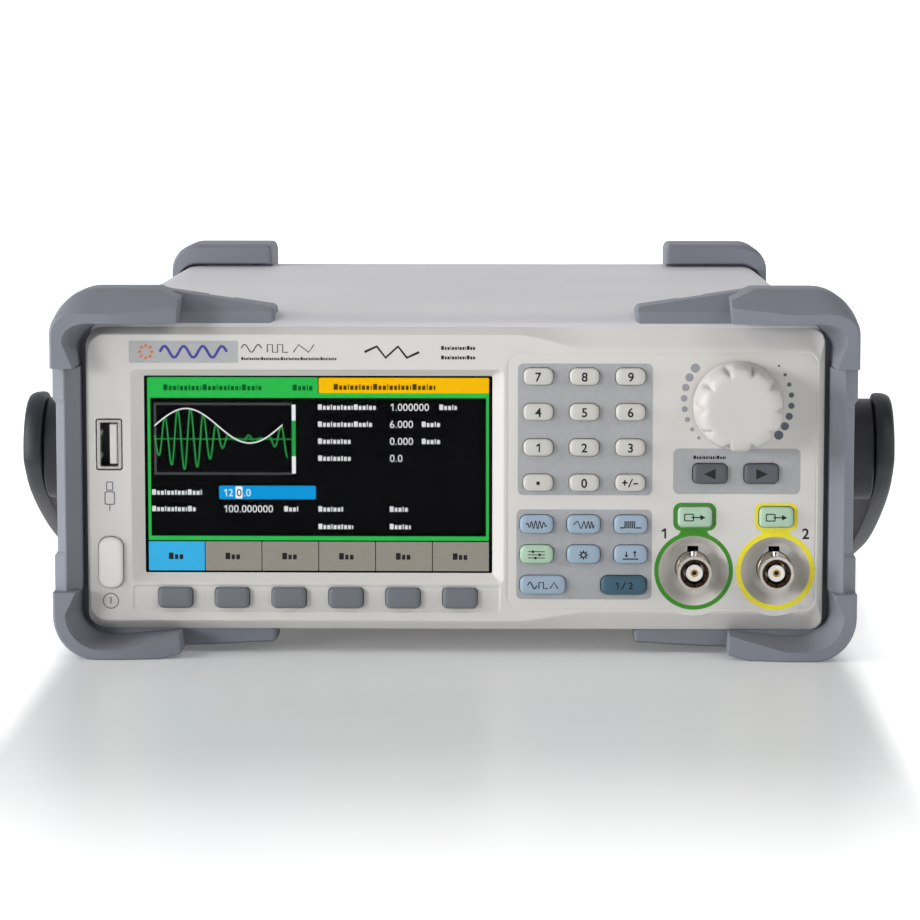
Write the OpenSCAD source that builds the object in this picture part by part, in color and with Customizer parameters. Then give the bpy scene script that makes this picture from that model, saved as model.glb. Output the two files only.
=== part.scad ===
// Two-channel bench function generator, built from its separate pieces.
// Axes: +X to the right seen from the front, +Y towards the back, +Z up.
// The origin is on the bench, under the middle of the instrument.
// "Depth" counts backwards from the front edge of the bumpers, in millimetres.

/* [Overall] */
// Width over the carrying handle
overall_w = 260; // [258:1:264]
// Depth from the knob's face to the back of the rear bumpers
overall_d = 295; // [292:1:300]
// How far the knob stands in front of the bumpers
knob_lead = 5; // [4:1:6]

/* [Case] */
// Width of the painted case
case_w = 208; // [206:1:209]
// Underside of the case above the bench
case_z0 = 7; // [7:0.5:8]
// Top of the case above the bench
case_z1 = 97.1; // [96:0.1:98]
// Outside radius of the case's long edges
case_r = 7; // [5:1:9]
// Thickness of the sheet steel
sheet = 1.2; // [1:0.1:1.4]
// Depth of the case's rolled front edge
nose_depth = 14.3; // [14.2:0.1:14.6]

/* [Front panel] */
// Width of the front panel
panel_w = 209.4; // [208:0.2:210]
// Lower edge of the front panel
panel_z0 = 6.9; // [6.5:0.1:7.2]
// Upper edge of the front panel
panel_z1 = 93.8; // [93:0.1:94.2]
// Depth of the panel's face behind the bumpers
face_depth = 10; // [9:0.5:11]
// Thickness of the panel
panel_t = 2.5; // [2.2:0.1:2.8]

/* [Display] */
// Width of the display's opening
window_w = 98; // [96:0.5:99]
// Height of the display's opening
window_h = 56.5; // [55:0.5:57]
// Middle of the display, across
window_x = -38.9; // [-40:0.1:-38]
// Middle of the display, up
window_z = 51.65; // [51:0.05:52]

/* [Keys] */
// Travel of a key
key_travel = 1; // [0.6:0.1:1]
// How far a key stands out of the panel
key_proud = 1.8; // [1.2:0.1:2.4]
// Clearance around a key
key_gap = 0.35; // [0.3:0.05:0.4]

/* [Knob] */
// Middle of the knob, across
knob_x = 80.1; // [79:0.1:81]
// Middle of the knob, up
knob_z = 71.8; // [71:0.1:73]
// Radius of the knob at its foot
knob_r = 12.7; // [12:0.1:13]
// Lobes around the knob
knob_lobes = 10; // [8:1:12]

/* [Outputs] */
// Middle of output 1, across
output_x1 = 68; // [67:0.1:69]
// Middle of output 2, across
output_x2 = 91.2; // [90:0.1:92]
// Middle of both outputs, up
output_z = 24.6; // [24:0.1:25]
// Outside radius of a coaxial socket's barrel
barrel_r = 4.83; // [4.8:0.01:4.85]

/* [Bumpers] */
// Width over the front bumpers
bumper_w = 227.2; // [226:0.2:228]
// Height over the bumpers
bumper_h = 105; // [104.5:0.5:106]
// Corner radius of the front bumpers
bumper_r = 12.4; // [10:0.1:13]
// Width over the rear bumpers
rear_bumper_w = 212; // [211:0.5:214]

/* [Handle] */
// Depth of the handle's pivot
pivot_depth = 73.5; // [72:0.5:76]
// Height of the handle's pivot
pivot_z = 52.6; // [51.5:0.1:53]
// Thickness of a handle arm
arm_t = 5.5; // [5:0.5:7]
// Radius of the arm's round end
arm_hub_r = 17; // [16:0.5:18]
// Radius of the pivot pin
pivot_r = 6; // [5:0.5:7]

/* [Rear] */
// Width and height of the fan
fan_w = 60; // [60:1:60]
// Middle of the fan, across
fan_x = -12; // [-14:1:-10]
// Middle of the fan, up
fan_z = 52; // [50:1:54]
// Middle of the mains inlet, across
inlet_x = -70; // [-71:0.5:-68]
// Middle of the mains inlet, up
inlet_z = 32; // [30:1:36]

/* [Hidden] */
$fn = 64;
front_y = knob_lead - overall_d / 2;
back_depth = overall_d - knob_lead;
rear_face = 275;
rear_panel_t = 1.5;
cover_back = rear_face - rear_panel_t;
board_depth = 20;
board_t = 1.6;
key_flange_depth = face_depth + panel_t + 0.3;
key_flange_t = 1;
mat_depth = key_flange_depth + key_flange_t + key_travel + 0.1;
knob_foot_depth = face_depth - 0.6;
split_z = 14;
arm_x0 = overall_w / 2 - arm_t;
bar_depth = 190.5;
bar_w = 16;
bar_z0 = 0.6;
bar_z1 = 6.4;
screw_r = 1.5;
fan_back = cover_back;
fan_front = fan_back - 20;
output_cup_r = 11.2;
output_mouth = 4.3;
output_length = 19;
waist_r = barrel_r - 0.35;
plateau_x0 = 15.1;
plateau_z0 = 13.6;
plateau_z1 = 86.5;
eps = 0.01;

soft_names = [for (i = [1:6]) str("softkey_", i)];
number_names = ["key_7", "key_8", "key_9", "key_4", "key_5", "key_6",
    "key_1", "key_2", "key_3", "key_point", "key_0", "key_sign"];
function_names = [for (i = [1:8]) str("function_key_", i)];

// Each key is [name, across, up, width, height, front depth, colour].
key_front = face_depth - key_proud;
soft_keys = [for (i = [0:5])
    [soft_names[i], -79.7 + 16.24 * i, 16.6, 9.7, 5.9, key_front, "slategray"]];
number_keys = [for (i = [0:11])
    [number_names[i], 23.7 + 13.05 * (i % 3), 80 - 10.07 * floor(i / 3), 8.4, 4.8, key_front, "ivory"]];
function_keys = concat(
    [for (i = [0:5])
        [function_names[i], 23.3 + 13.35 * (i % 3), 37.9 - 8.6 * floor(i / 3), 9.4, 5.3, key_front,
        i == 3 ? "palegreen" : "lightsteelblue"]],
    [[function_names[6], 25.1, 20.5, 12.9, 5.3, key_front, "lightsteelblue"],
    [function_names[7], 48.1, 20.5, 12.9, 5.3, key_front, "steelblue"]]);
other_keys = [
    ["arrow_key_left", 72.4, 52.5, 9.6, 5.6, key_front, "darkgray"],
    ["arrow_key_right", 86.9, 52.5, 9.6, 5.6, key_front, "darkgray"],
    ["output_key_1", 68.2, 40.1, 9.7, 5.8, key_front, "palegreen"],
    ["output_key_2", 91.3, 40.1, 9.7, 5.8, key_front, "palegreen"],
    ["power_button", -98, 26.6, 6.9, 14.7, key_front, "white"]];
keys = concat(soft_keys, number_keys, function_keys, other_keys);
pad_keys = [for (k = keys) if (k[0] != "power_button") k];

rear_socket_x = [42, 58, 74];
rear_socket_z = 72;
lan_x = 36;
usb_device_x = 62;
data_port_z = 34;
rear_screws = concat(
    [for (x = [-94, 94], z = [17, 87]) [x, z]],
    [for (x = [-25, 25], z = [-25, 25]) [fan_x + x, fan_z + z]]);

// ---- Shapes that several pieces share ----

// Extrudes a front view (across, up) from one depth to another.
module slab(d0, d1) {
    translate([0, front_y + d1, 0]) rotate([90, 0, 0]) linear_extrude(d1 - d0) children();
}

// Extrudes a side view (depth, up) across from x0 to x1.
module across(x0, x1) {
    translate([x0, front_y, 0]) rotate([90, 0, 90]) linear_extrude(x1 - x0) children();
}

// Extrudes a plan view (across, depth) up from z0 to z1.
module upright(z0, z1) {
    translate([0, front_y, z0]) linear_extrude(z1 - z0) children();
}

module rounded_rect(w, h, r) {
    square([w, h - 2 * r], center = true);
    square([w - 2 * r, h], center = true);
    for (x = [-1, 1], z = [-1, 1])
        translate([x * (w / 2 - r), z * (h / 2 - r)]) circle(r);
}

// A rounded rectangle given by its sides.
module window_shape(x0, x1, z0, z1, r) {
    translate([(x0 + x1) / 2, (z0 + z1) / 2]) rounded_rect(x1 - x0, z1 - z0, r);
}

// A cylinder along +Y from one depth to another.
module rod(x, z, r, d0, d1) {
    translate([x, front_y + d0, z]) rotate([-90, 0, 0]) cylinder(h = d1 - d0, r = r);
}

// A box given by its sides: across, depth, up.
module block(x0, x1, d0, d1, z0, z1) {
    translate([x0, front_y + d0, z0]) cube([x1 - x0, d1 - d0, z1 - z0]);
}

// The case's outline in the front view, taken in by a distance.
module case_outline(inset) {
    window_shape(-case_w / 2 + inset, case_w / 2 - inset, case_z0 + inset, case_z1 - inset, case_r - inset);
}

// The space the closed case takes up, with its rolled top front edge.
module case_space() {
    intersection() {
        slab(nose_depth, rear_face) case_outline(0);
        across(-case_w, case_w) nose_profile();
    }
}

// Side view of the case: the top edge rolls down towards the panel.
module nose_profile() {
    roll = case_z1 - panel_z1 - 0.2;
    run = 10.7;
    polygon(concat(
        [[nose_depth, 0]],
        [for (a = [0:15:90]) [nose_depth + run * (1 - cos(a)), case_z1 - roll + roll * sin(a)]],
        [[rear_face, case_z1], [rear_face, 0]]));
}

// ---- Front panel and what it holds ----

module key_outline(k, grow) {
    translate([k[1], k[2]]) rounded_rect(k[3] + 2 * grow, k[4] + 2 * grow, 1.3);
}

// A frustum whose mouth is at the panel's face and whose throat is at its back.
module display_bezel() {
    x0 = window_x - window_w / 2;
    x1 = window_x + window_w / 2;
    z0 = window_z - window_h / 2;
    z1 = window_z + window_h / 2;
    back = face_depth + panel_t + eps;
    intersection() {
        upright(0, bumper_h)
            polygon([[x0 - 4.1, face_depth - eps], [x1 + 3.8, face_depth - eps], [x1, back], [x0, back]]);
        across(-case_w, case_w)
            polygon([[face_depth - eps, z0 - 2.7], [face_depth - eps, z1 + 2], [back, z1], [back, z0]]);
    }
}

// The panel's outside: bevelled above and below, with deeper slopes on the right.
module panel_body() {
    slope_x = 34.4;
    slope_start = 18.7;
    bevel_z0 = 10.1;
    bevel_z1 = 91.6;
    crease_z0 = 13.4;
    crease_z1 = 86.7;
    intersection() {
        slab(face_depth, nose_depth) window_shape(-panel_w / 2, panel_w / 2, panel_z0, panel_z1, 7);
        difference() {
            across(-case_w, case_w)
                polygon([[face_depth, bevel_z0], [face_depth, bevel_z1], [nose_depth, panel_z1],
                    [nose_depth, panel_z0]]);
            across(slope_x, case_w)
                polygon([[face_depth - eps, crease_z1], [nose_depth, panel_z1], [face_depth - eps, panel_z1]]);
            across(slope_x, case_w)
                polygon([[face_depth - eps, crease_z0], [nose_depth, panel_z0], [face_depth - eps, panel_z0]]);
            hull() {
                across(slope_x, slope_x + eps) polygon([[face_depth - eps, crease_z1], [nose_depth, panel_z1],
                    [face_depth - eps, panel_z1]]);
                across(slope_start, slope_start + eps) polygon([[face_depth - eps, bevel_z1],
                    [nose_depth, panel_z1], [face_depth - eps, panel_z1]]);
            }
            hull() {
                across(slope_x, slope_x + eps) polygon([[face_depth - eps, crease_z0], [nose_depth, panel_z0],
                    [face_depth - eps, panel_z0]]);
                across(slope_start, slope_start + eps) polygon([[face_depth - eps, bevel_z0],
                    [nose_depth, panel_z0], [face_depth - eps, panel_z0]]);
            }
        }
    }
}

// Dished seat around a coaxial socket, with the socket's hole and its key notch.
module output_seat(x) {
    dish_r = 10;
    dish_depth = 5.3;
    floor_r = 7.4;
    translate([x, front_y + face_depth, output_z]) rotate([-90, 0, 0]) rotate_extrude()
        polygon([[0, -1], [dish_r, -1], [dish_r, 0], [floor_r, dish_depth], [0, dish_depth]]);
}

module output_hole(x) {
    rod(x, output_z, 5.1, face_depth, board_depth);
    block(x - 1.6, x + 1.6, face_depth, board_depth, output_z + 4, output_z + 6.4);
}

// Fine groove around the area of the keys, knob and outputs.
module plateau_groove() {
    groove_w = 0.4;
    corner_r = 3.4;
    x1 = panel_w / 2 - 2.2;
    slab(face_depth - 1, face_depth + 0.2) difference() {
        window_shape(plateau_x0, x1, plateau_z0, plateau_z1, corner_r);
        window_shape(plateau_x0 + groove_w, x1 - groove_w, plateau_z0 + groove_w, plateau_z1 - groove_w,
            corner_r - groove_w);
    }
}

module front_panel() {
    back = face_depth + panel_t;
    color("gainsboro") difference() {
        union() {
            difference() {
                panel_body();
                slab(back, nose_depth + 1)
                    window_shape(-panel_w / 2 + 2, panel_w / 2 - 2, panel_z0 + 2, panel_z1 - 2, 5);
            }
            // Tongues that slide into the case's front edge, above and below.
            block(-92, 92, back - 0.5, 22, panel_z1 - 3.4, panel_z1 - 1.8);
            block(-92, 92, back - 0.5, 22, case_z0 + 1.4, case_z0 + 3);
            // Cups behind the two outputs.
            for (x = [output_x1, output_x2]) rod(x, output_z, output_cup_r, back - 0.5, face_depth + 7.3);
        }
        display_bezel();
        for (k = keys) slab(face_depth - 5, nose_depth) key_outline(k, key_gap);
        for (x = [output_x1, output_x2]) {
            output_seat(x);
            output_hole(x);
        }
        // Bushing hole for the knob.
        rod(knob_x, knob_z, 5.2, face_depth - 1, nose_depth);
        slab(face_depth - 1, nose_depth) window_shape(-102, -94.4, 53, 67.8, 0.8);
        plateau_groove();
    }
}

module display_window() {
    d0 = face_depth + panel_t;
    color([0.08, 0.09, 0.1]) slab(d0, d0 + 1.2)
        window_shape(window_x - window_w / 2 - 2, window_x + window_w / 2 + 2,
            window_z - window_h / 2 - 1.6, window_z + window_h / 2 + 1.6, 1);
}

module display_module() {
    color("dimgray") slab(mat_depth + 0.3, mat_depth + 3.3)
        window_shape(window_x - 52.75, window_x + 52.75, 20.2, 87.4, 1);
}

module keypad_mat() {
    d1 = mat_depth + 1.6;
    dome_d = mat_depth - 0.05;
    color("whitesmoke") difference() {
        union() {
            slab(mat_depth + 0.4, d1) {
                window_shape(-88, 17, 12.4, 19.8, 1);
                window_shape(15, 99, 14, 89, 2);
            }
            for (k = pad_keys) slab(dome_d, mat_depth + 0.5) translate([k[1], k[2]]) circle(1.8);
        }
        block(output_x1 - output_cup_r - 0.4, 100, mat_depth - 1, d1 + 1, 10, output_z + output_cup_r + 0.4);
        slab(mat_depth - 1, d1 + 1) translate([knob_x, knob_z]) square(15, center = true);
    }
}

module front_board() {
    color("darkgreen") difference() {
        slab(board_depth, board_depth + board_t) window_shape(-101.5, 101.5, 12, 89, 1);
        for (x = [output_x1, output_x2]) rod(x, output_z, 6, board_depth - 1, board_depth + 3);
    }
}

module encoder_body() {
    color("silver") difference() {
        union() {
            block(knob_x - 6.2, knob_x + 6.2, 13.5, board_depth, knob_z - 6.7, knob_z + 6.7);
            rod(knob_x, knob_z, 4.6, 11.2, 14);
        }
        rod(knob_x, knob_z, 3.05, 11, 18.2);
    }
}

module encoder_shaft() {
    color("gainsboro") rod(knob_x, knob_z, 3, -1.6, 18);
}

module control_knob() {
    notch_r = 1.5;
    color("white") difference() {
        translate([knob_x, front_y, knob_z]) rotate([-90, 0, 0]) rotate_extrude()
            polygon([[0, -knob_lead], [9.2, -knob_lead], [10.2, -knob_lead + 0.3], [11.1, -knob_lead + 0.9],
                [11.8, -knob_lead + 1.9], [knob_r - 0.5, -knob_lead + 7], [knob_r - 0.3, knob_foot_depth - 1.5],
                [knob_r, knob_foot_depth], [0, knob_foot_depth]]);
        rod(knob_x, knob_z, 3.05, -1.8, knob_foot_depth + 1);
        for (i = [1:knob_lobes]) rotate_about_knob(i * 360 / knob_lobes)
            rod(knob_x + knob_r, knob_z, notch_r, -knob_lead - 1, knob_foot_depth - 3);
    }
}

module rotate_about_knob(angle) {
    translate([knob_x, 0, knob_z]) rotate([0, angle, 0]) translate([-knob_x, 0, -knob_z]) children();
}

// A key: the cap that shows, and the flange behind the panel that keeps it in.
module key(k) {
    flange_w = k[0] == "power_button" ? 0 : 0.8;
    color(k[6]) {
        slab(k[5], key_flange_depth + eps) key_outline(k, 0);
        slab(key_flange_depth, key_flange_depth + key_flange_t)
            translate([k[1], k[2]]) rounded_rect(k[3] + 2 * flange_w, k[4] + 1.6, 1.3);
    }
}

module usb_host_port() {
    x = -98.2;
    z = 60.4;
    color("silver") {
        difference() {
            slab(face_depth + 0.3, board_depth) translate([x, z]) rounded_rect(6.9, 14.1, 0.5);
            slab(face_depth - 1, board_depth - 1) translate([x, z]) rounded_rect(5.12, 12.5, 0.3);
        }
        block(x + 0.1, x + 1.9, face_depth + 1.3, board_depth - 0.5, z - 5.6, z + 5.6);
    }
}

// ---- Coaxial sockets ----

// The barrel of a socket: a plain stretch at its mouth, then a waist with the bayonet lugs.
module socket_shell(x, z, mouth, length) {
    lug_depth = mouth + 5.4;
    lug_reach = 5.6;
    difference() {
        union() {
            rod(x, z, barrel_r, mouth, mouth + 4);
            rod(x, z, waist_r, mouth + 3.9, mouth + length);
            translate([x, front_y + lug_depth, z - lug_reach]) cylinder(h = 2 * lug_reach, r = 0.95);
        }
        rod(x, z, 4.06, mouth - 1, mouth + 9);
        rod(x, z, 2.45, mouth, mouth + length + 1);
    }
}

// The white insulator with the contact's hole in it.
module socket_core(x, z, mouth, length) {
    difference() {
        rod(x, z, 2.4, mouth + 1, mouth + length);
        rod(x, z, 0.7, mouth, mouth + 6);
    }
}

module output_bnc_shells() {
    color("silver") for (x = [output_x1, output_x2]) socket_shell(x, output_z, output_mouth, output_length);
}

module output_bnc_cores() {
    color("ivory") for (x = [output_x1, output_x2]) socket_core(x, output_z, output_mouth, output_length);
}

// A rear socket runs the other way, so it is mirrored about the rear face.
module facing_back() {
    translate([0, 2 * (front_y + rear_face), 0]) mirror([0, 1, 0]) children();
}

module rear_bnc_sockets() {
    nut_t = 2.4;
    reach = 11.5;
    for (x = rear_socket_x) facing_back() {
        color("silver") difference() {
            union() {
                socket_shell(x, rear_socket_z, rear_face - reach, reach + 6);
                rod_hex(x, rear_socket_z, 6.6, rear_face - nut_t, rear_face);
            }
            rod(x, rear_socket_z, 2.45, rear_face - nut_t - 1, rear_face + 1);
        }
        color("ivory") socket_core(x, rear_socket_z, rear_face - reach, reach + 6);
    }
}

module rod_hex(x, z, r, d0, d1) {
    translate([x, front_y + d0, z]) rotate([-90, 0, 0]) cylinder(h = d1 - d0, r = r, $fn = 6);
}

// ---- Case ----

module side_vents(z0, z1) {
    slot_w = 2;
    for (i = [0:13], side = [-1, 1])
        translate([side * case_w / 2 - 4, front_y + 150 + 7 * i, z0]) cube([8, slot_w, z1 - z0]);
}

module case_cover() {
    color("lightgray") difference() {
        case_space();
        slab(nose_depth + 11, cover_back + 5) case_outline(sheet);
        slab(nose_depth - 1, nose_depth + 12)
            window_shape(-case_w / 2 + sheet, case_w / 2 - sheet, case_z0 + sheet, case_z1 - 4.5, case_r - 4);
        block(-case_w, case_w, 0, back_depth, 0, split_z);
        block(-case_w, case_w, cover_back, back_depth, 0, bumper_h);
        side_vents(26, 44);
    }
}

module chassis_tray() {
    standoff_z = 14;
    flange_x = case_w / 2 - sheet - 0.3;
    color("silver") {
        difference() {
            slab(nose_depth, cover_back) difference() {
                case_outline(0);
                case_outline(sheet);
            }
            block(-case_w, case_w, 0, back_depth, split_z, bumper_h);
        }
        // Inner flanges that the cover closes over.
        for (side = [-1, 1])
            translate([side * (flange_x - sheet / 2) - sheet / 2, front_y + 40, case_z0 + 4])
                cube([sheet, 210, 16]);
        for (x = [-24, 92], d = [52, 238])
            translate([x, front_y + d, case_z0 + sheet - 0.1]) difference() {
                cylinder(h = standoff_z - case_z0 - sheet + 0.1, r = 3);
                translate([0, 0, 2]) cylinder(h = 10, r = 1.25);
            }
    }
}

// Ring slots in front of the fan, crossed by four ribs.
module fan_grille() {
    slab(cover_back - 1, rear_face + 1) translate([fan_x, fan_z]) difference() {
        for (r = [9, 14, 19, 24]) difference() {
            circle(r + 3);
            circle(r);
        }
        for (a = [45, 135]) rotate(a) square([80, 3.4], center = true);
    }
}

module rear_panel() {
    color("silver") difference() {
        slab(cover_back, rear_face) case_outline(0);
        fan_grille();
        slab(cover_back - 1, rear_face + 1) {
            translate([inlet_x, inlet_z]) rounded_rect(27.4, 20.4, 2);
            translate([lan_x, data_port_z]) square([16.4, 13.9], center = true);
            translate([usb_device_x, data_port_z]) square([12.4, 11.2], center = true);
        }
        for (x = rear_socket_x) rod(x, rear_socket_z, 4.95, cover_back - 1, rear_face + 1);
        for (p = rear_screws) rod(p[0], p[1], screw_r + 0.2, cover_back - 1, rear_face + 1);
    }
}

module rear_screw_set() {
    head_t = 1.9;
    color("silver") for (p = rear_screws) difference() {
        union() {
            rod(p[0], p[1], screw_r, cover_back - 4.5, rear_face + 0.2);
            rod(p[0], p[1], 2.8, rear_face, rear_face + head_t);
        }
        for (a = [0, 90]) translate([p[0], front_y + rear_face + head_t, p[1]]) rotate([0, a, 0])
            cube([3.4, 1.6, 0.8], center = true);
    }
}

module mains_inlet() {
    shroud_d = 16;
    color([0.1, 0.1, 0.1]) {
        difference() {
            union() {
                slab(rear_face, rear_face + 3) translate([inlet_x, inlet_z]) rounded_rect(47, 22.6, 3);
                slab(rear_face - 22, rear_face + eps) translate([inlet_x, inlet_z]) rounded_rect(27, 20, 2);
            }
            slab(rear_face + 3 - shroud_d, rear_face + 4) translate([inlet_x, inlet_z]) inlet_outline();
        }
    }
    color("silver") {
        for (p = [[-7, -2], [7, -2], [0, 2]])
            block(inlet_x + p[0] - 1, inlet_x + p[0] + 1, rear_face - 14, rear_face + 0.5,
                inlet_z + p[1] - 2, inlet_z + p[1] + 2);
    }
}

// The socket's outline, with two corners cut off so that a plug fits one way.
module inlet_outline() {
    polygon([[-12, -8], [12, -8], [12, 4], [8, 8], [-8, 8], [-12, 4]]);
}

module rear_data_ports() {
    color("silver") {
        difference() {
            slab(rear_face - 20, rear_face + 0.6) translate([lan_x, data_port_z]) square([16, 13.5], center = true);
            slab(rear_face - 13, rear_face + 2) translate([lan_x, data_port_z - 0.9]) {
                square([11.8, 8.6], center = true);
                translate([0, -4]) square([6, 3], center = true);
            }
        }
        difference() {
            slab(rear_face - 16, rear_face + 0.6)
                translate([usb_device_x, data_port_z]) square([12, 10.8], center = true);
            slab(rear_face - 10, rear_face + 2) difference() {
                translate([usb_device_x, data_port_z]) square([8.5, 7.8], center = true);
                translate([usb_device_x, data_port_z]) square([5.6, 3.2], center = true);
            }
        }
    }
}

// ---- Inside ----

module main_board() {
    z = 14;
    color("darkgreen") {
        difference() {
            block(-32, 98, 44, 246, z, z + board_t);
            for (x = [-24, 92], d = [52, 238])
                translate([x, front_y + d, z - 1]) cylinder(h = 4, r = 1.6);
        }
    }
    color("silver") {
        for (x = [40, 66]) block(x, x + 22, 58, 108, z + board_t - 0.1, z + 10);
        block(0, 30, 70, 100, z + board_t - 0.1, z + 5);
    }
    color("dimgray") {
        block(-14, 26, 130, 170, z + board_t - 0.1, z + 6);
        for (i = [0:7]) block(-14 + 5.4 * i, -12 + 5.4 * i, 130, 170, z + 5.9, z + 22);
    }
    color("black") for (i = [0:3]) block(40 + 14 * i, 50 + 14 * i, 140, 150, z + board_t - 0.1, z + 4);
}

module power_supply() {
    base_z = case_z0 + sheet + 0.3;
    board_z = 14;
    top_z = board_z + board_t - 0.1;
    color("silver") {
        block(-98, -38, 90, 236, base_z, base_z + sheet);
        block(-98, -98 + sheet, 90, 236, base_z, 50);
        block(-38 - sheet, -38, 90, 236, base_z, 50);
    }
    color("darkgreen") block(-98 + sheet / 2, -38 - sheet / 2, 94, 232, board_z, board_z + board_t);
    color("gold") block(-86, -60, 120, 150, top_z, 42);
    color("black") for (d = [180, 202]) translate([-80, front_y + d, top_z]) cylinder(h = 30, r = 8);
    color("dimgray") block(-54, -50, 104, 222, top_z, 40);
}

module ribbon_cable() {
    x0 = 4;
    x1 = 34;
    color("lightgray") {
        block(x0, x1, board_depth + board_t, 30, 23, 24);
        block(x0, x1, 29, 30, 18.6, 24);
        block(x0, x1, 29, 47, 18.6, 19.6);
        block(x0, x1, 46, 50, 15.6, 19.6);
    }
}

module fan_frame() {
    bore_r = 28.4;
    color([0.12, 0.12, 0.12]) {
        difference() {
            slab(fan_front, fan_back) translate([fan_x, fan_z]) rounded_rect(fan_w, fan_w, 4);
            rod(fan_x, fan_z, bore_r, fan_front - 1, fan_back + 1);
            for (x = [-25, 25], z = [-25, 25]) rod(fan_x + x, fan_z + z, 2.1, fan_front - 1, fan_back + 1);
        }
        // Motor seat on three struts, at the end that faces into the case.
        difference() {
            union() {
                rod(fan_x, fan_z, 12, fan_front, fan_front + 3);
                for (a = [30, 150, 270]) translate([fan_x, 0, fan_z]) rotate([0, a, 0])
                    block(0, bore_r + 0.6, fan_front, fan_front + 3, -1.5, 1.5);
            }
            rod(fan_x, fan_z, 2.05, fan_front - 1, fan_front + 4);
        }
    }
}

module fan_rotor() {
    blades = 7;
    hub_r = 12;
    d0 = fan_front + 3.5;
    d1 = fan_back - 1;
    color([0.18, 0.18, 0.18]) {
        rod(fan_x, fan_z, hub_r, d0, d1);
        rod(fan_x, fan_z, 2, fan_front + 0.4, d0 + 1);
        intersection() {
            slab(d0, d1) translate([fan_x, fan_z]) circle(27.4);
            for (i = [1:blades]) translate([fan_x, front_y + (d0 + d1) / 2, fan_z])
                rotate([0, i * 360 / blades, 0]) rotate([38, 0, 0])
                    translate([hub_r - 1.5, -0.6, -10]) cube([17, 1.2, 20]);
        }
    }
}

// ---- Bumpers ----

// Side view of a top corner block: a thin lip, a long slope and a flat top.
module top_block_profile() {
    polygon([[0, 95.4], [0, 98.2], [9, bumper_h - 0.5], [12, bumper_h], [24, bumper_h], [30, bumper_h - 1],
        [30, 88], [nose_depth, 88], [nose_depth, 95.4]]);
}

// Side view of a bottom corner block: a flat foot and a lip that rises backwards.
module bottom_block_profile() {
    polygon([[0.4, 0], [0, 0.4], [0, 2.8], [12, 5.2], [nose_depth, 5.4], [nose_depth, 14], [30, 14],
        [30, 0.6], [29.4, 0]]);
}

// Plan view of the upright part of a corner block.
module corner_leg_profile() {
    edge = bumper_w / 2;
    polygon([[106.3, nose_depth], [107, 12], [109.8, 0], [edge - 0.6, 0], [edge, 1], [edge, 30], [100, 30],
        [100, nose_depth]]);
}

// Plan view of the strip between the corner blocks, with its ridge set back.
module side_strip_profile() {
    edge = bumper_w / 2;
    polygon([[106.3, nose_depth], [106.8, 11], [110, 4], [edge, 9], [edge, 28], [100, 28], [100, nose_depth]]);
}

// Side view of the low wing beside a block.
module wing_profile(top) {
    front = nose_depth + 0.3;
    polygon([[front, top ? 94.2 : 7], [front, top ? 98 : 2.4], [20.5, top ? 104 : 0.9],
        [30, top ? 104 : 0.9], [30, top ? 94 : 9], [20, top ? 92 : 9]]);
}

module front_bumper() {
    edge = bumper_w / 2;
    block_end = 77.6;
    wing_end = 52.5;
    leg_top = 82.4;
    leg_bottom = 20;
    color("slategray") difference() {
        union() {
            intersection() {
                slab(-1, 31) window_shape(-edge, edge, 0, bumper_h, bumper_r);
                union() {
                    across(block_end, edge) top_block_profile();
                    across(block_end, edge) bottom_block_profile();
                    upright(leg_top, bumper_h) corner_leg_profile();
                    upright(0, leg_bottom) corner_leg_profile();
                    upright(leg_bottom - 1, leg_top + 1) side_strip_profile();
                }
            }
            // Wings, with a top that falls away towards the middle.
            intersection() {
                across(wing_end, block_end + 1) wing_profile(true);
                slab(0, 40) polygon([[wing_end, 80], [wing_end, 99.3], [block_end + 1, 103.3],
                    [block_end + 1, 80]]);
            }
            intersection() {
                across(wing_end, block_end + 1) wing_profile(false);
                slab(0, 40) polygon([[wing_end, 20], [wing_end, 2.9], [wing_end + 2, 2.4], [block_end + 1, 1],
                    [block_end + 1, 20]]);
            }
        }
        case_space();
        // The foot starts a little outside the block's inner end.
        slab(-1, 40) polygon([[70, -1], [84.6, -1], [83.6, 0], [79, 0.8], [77, 1.8], [70, 1.8]]);
        // Flats at the inner ends of the blocks and the ends of the legs.
        upright(90, 110) polygon([[94, 0], [70, 3.6], [70, -2], [94, -2]]);
        upright(-1, 12) polygon([[94, 0], [70, 3.6], [70, -2], [94, -2]]);
        // The strip's outer side is cut back beside the handle.
        slab(-1, 40) polygon([[edge - 1.3, 30.3], [edge + 1, 28], [edge + 1, 74.8], [edge - 1.3, 72.5]]);
        // Small recess on top of the wing.
        block(66, 78, 27, 33, 99.6, 102);
    }
}

module front_bumper_right() {
    front_bumper();
}

module front_bumper_left() {
    mirror([1, 0, 0]) front_bumper();
}

module rear_bumper() {
    edge = rear_bumper_w / 2;
    start = 257;
    inner_end = 68.5;
    wrap = 5;
    color("slategray") difference() {
        union() {
            slab(start, back_depth) window_shape(-edge, edge, 0.8, bumper_h, 9.3);
            slab(start + 4, back_depth - 3) polygon([[78, 0], [98, 0], [99, 1.4], [77, 1.4]]);
        }
        slab(start - 1, rear_face) case_outline(0);
        slab(start - 1, back_depth + 1)
            window_shape(-case_w / 2 + wrap, case_w / 2 - wrap, case_z0 + wrap, case_z1 - wrap, 5);
        slab(start - 1, back_depth + 1)
            polygon([[-edge - 1, -1], [inner_end, -1], [inner_end + 1.7, bumper_h + 1], [-edge - 1, bumper_h + 1]]);
    }
}

module rear_bumper_right() {
    rear_bumper();
}

module rear_bumper_left() {
    mirror([1, 0, 0]) rear_bumper();
}

// ---- Handle ----

module both_sides() {
    for (side = [0, 1]) mirror([side, 0, 0]) children();
}

// A cylinder along X through the handle's pivot.
module pivot_rod(r, x0, x1) {
    translate([x0, front_y + pivot_depth, pivot_z]) rotate([0, 90, 0]) cylinder(h = x1 - x0, r = r);
}

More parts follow.
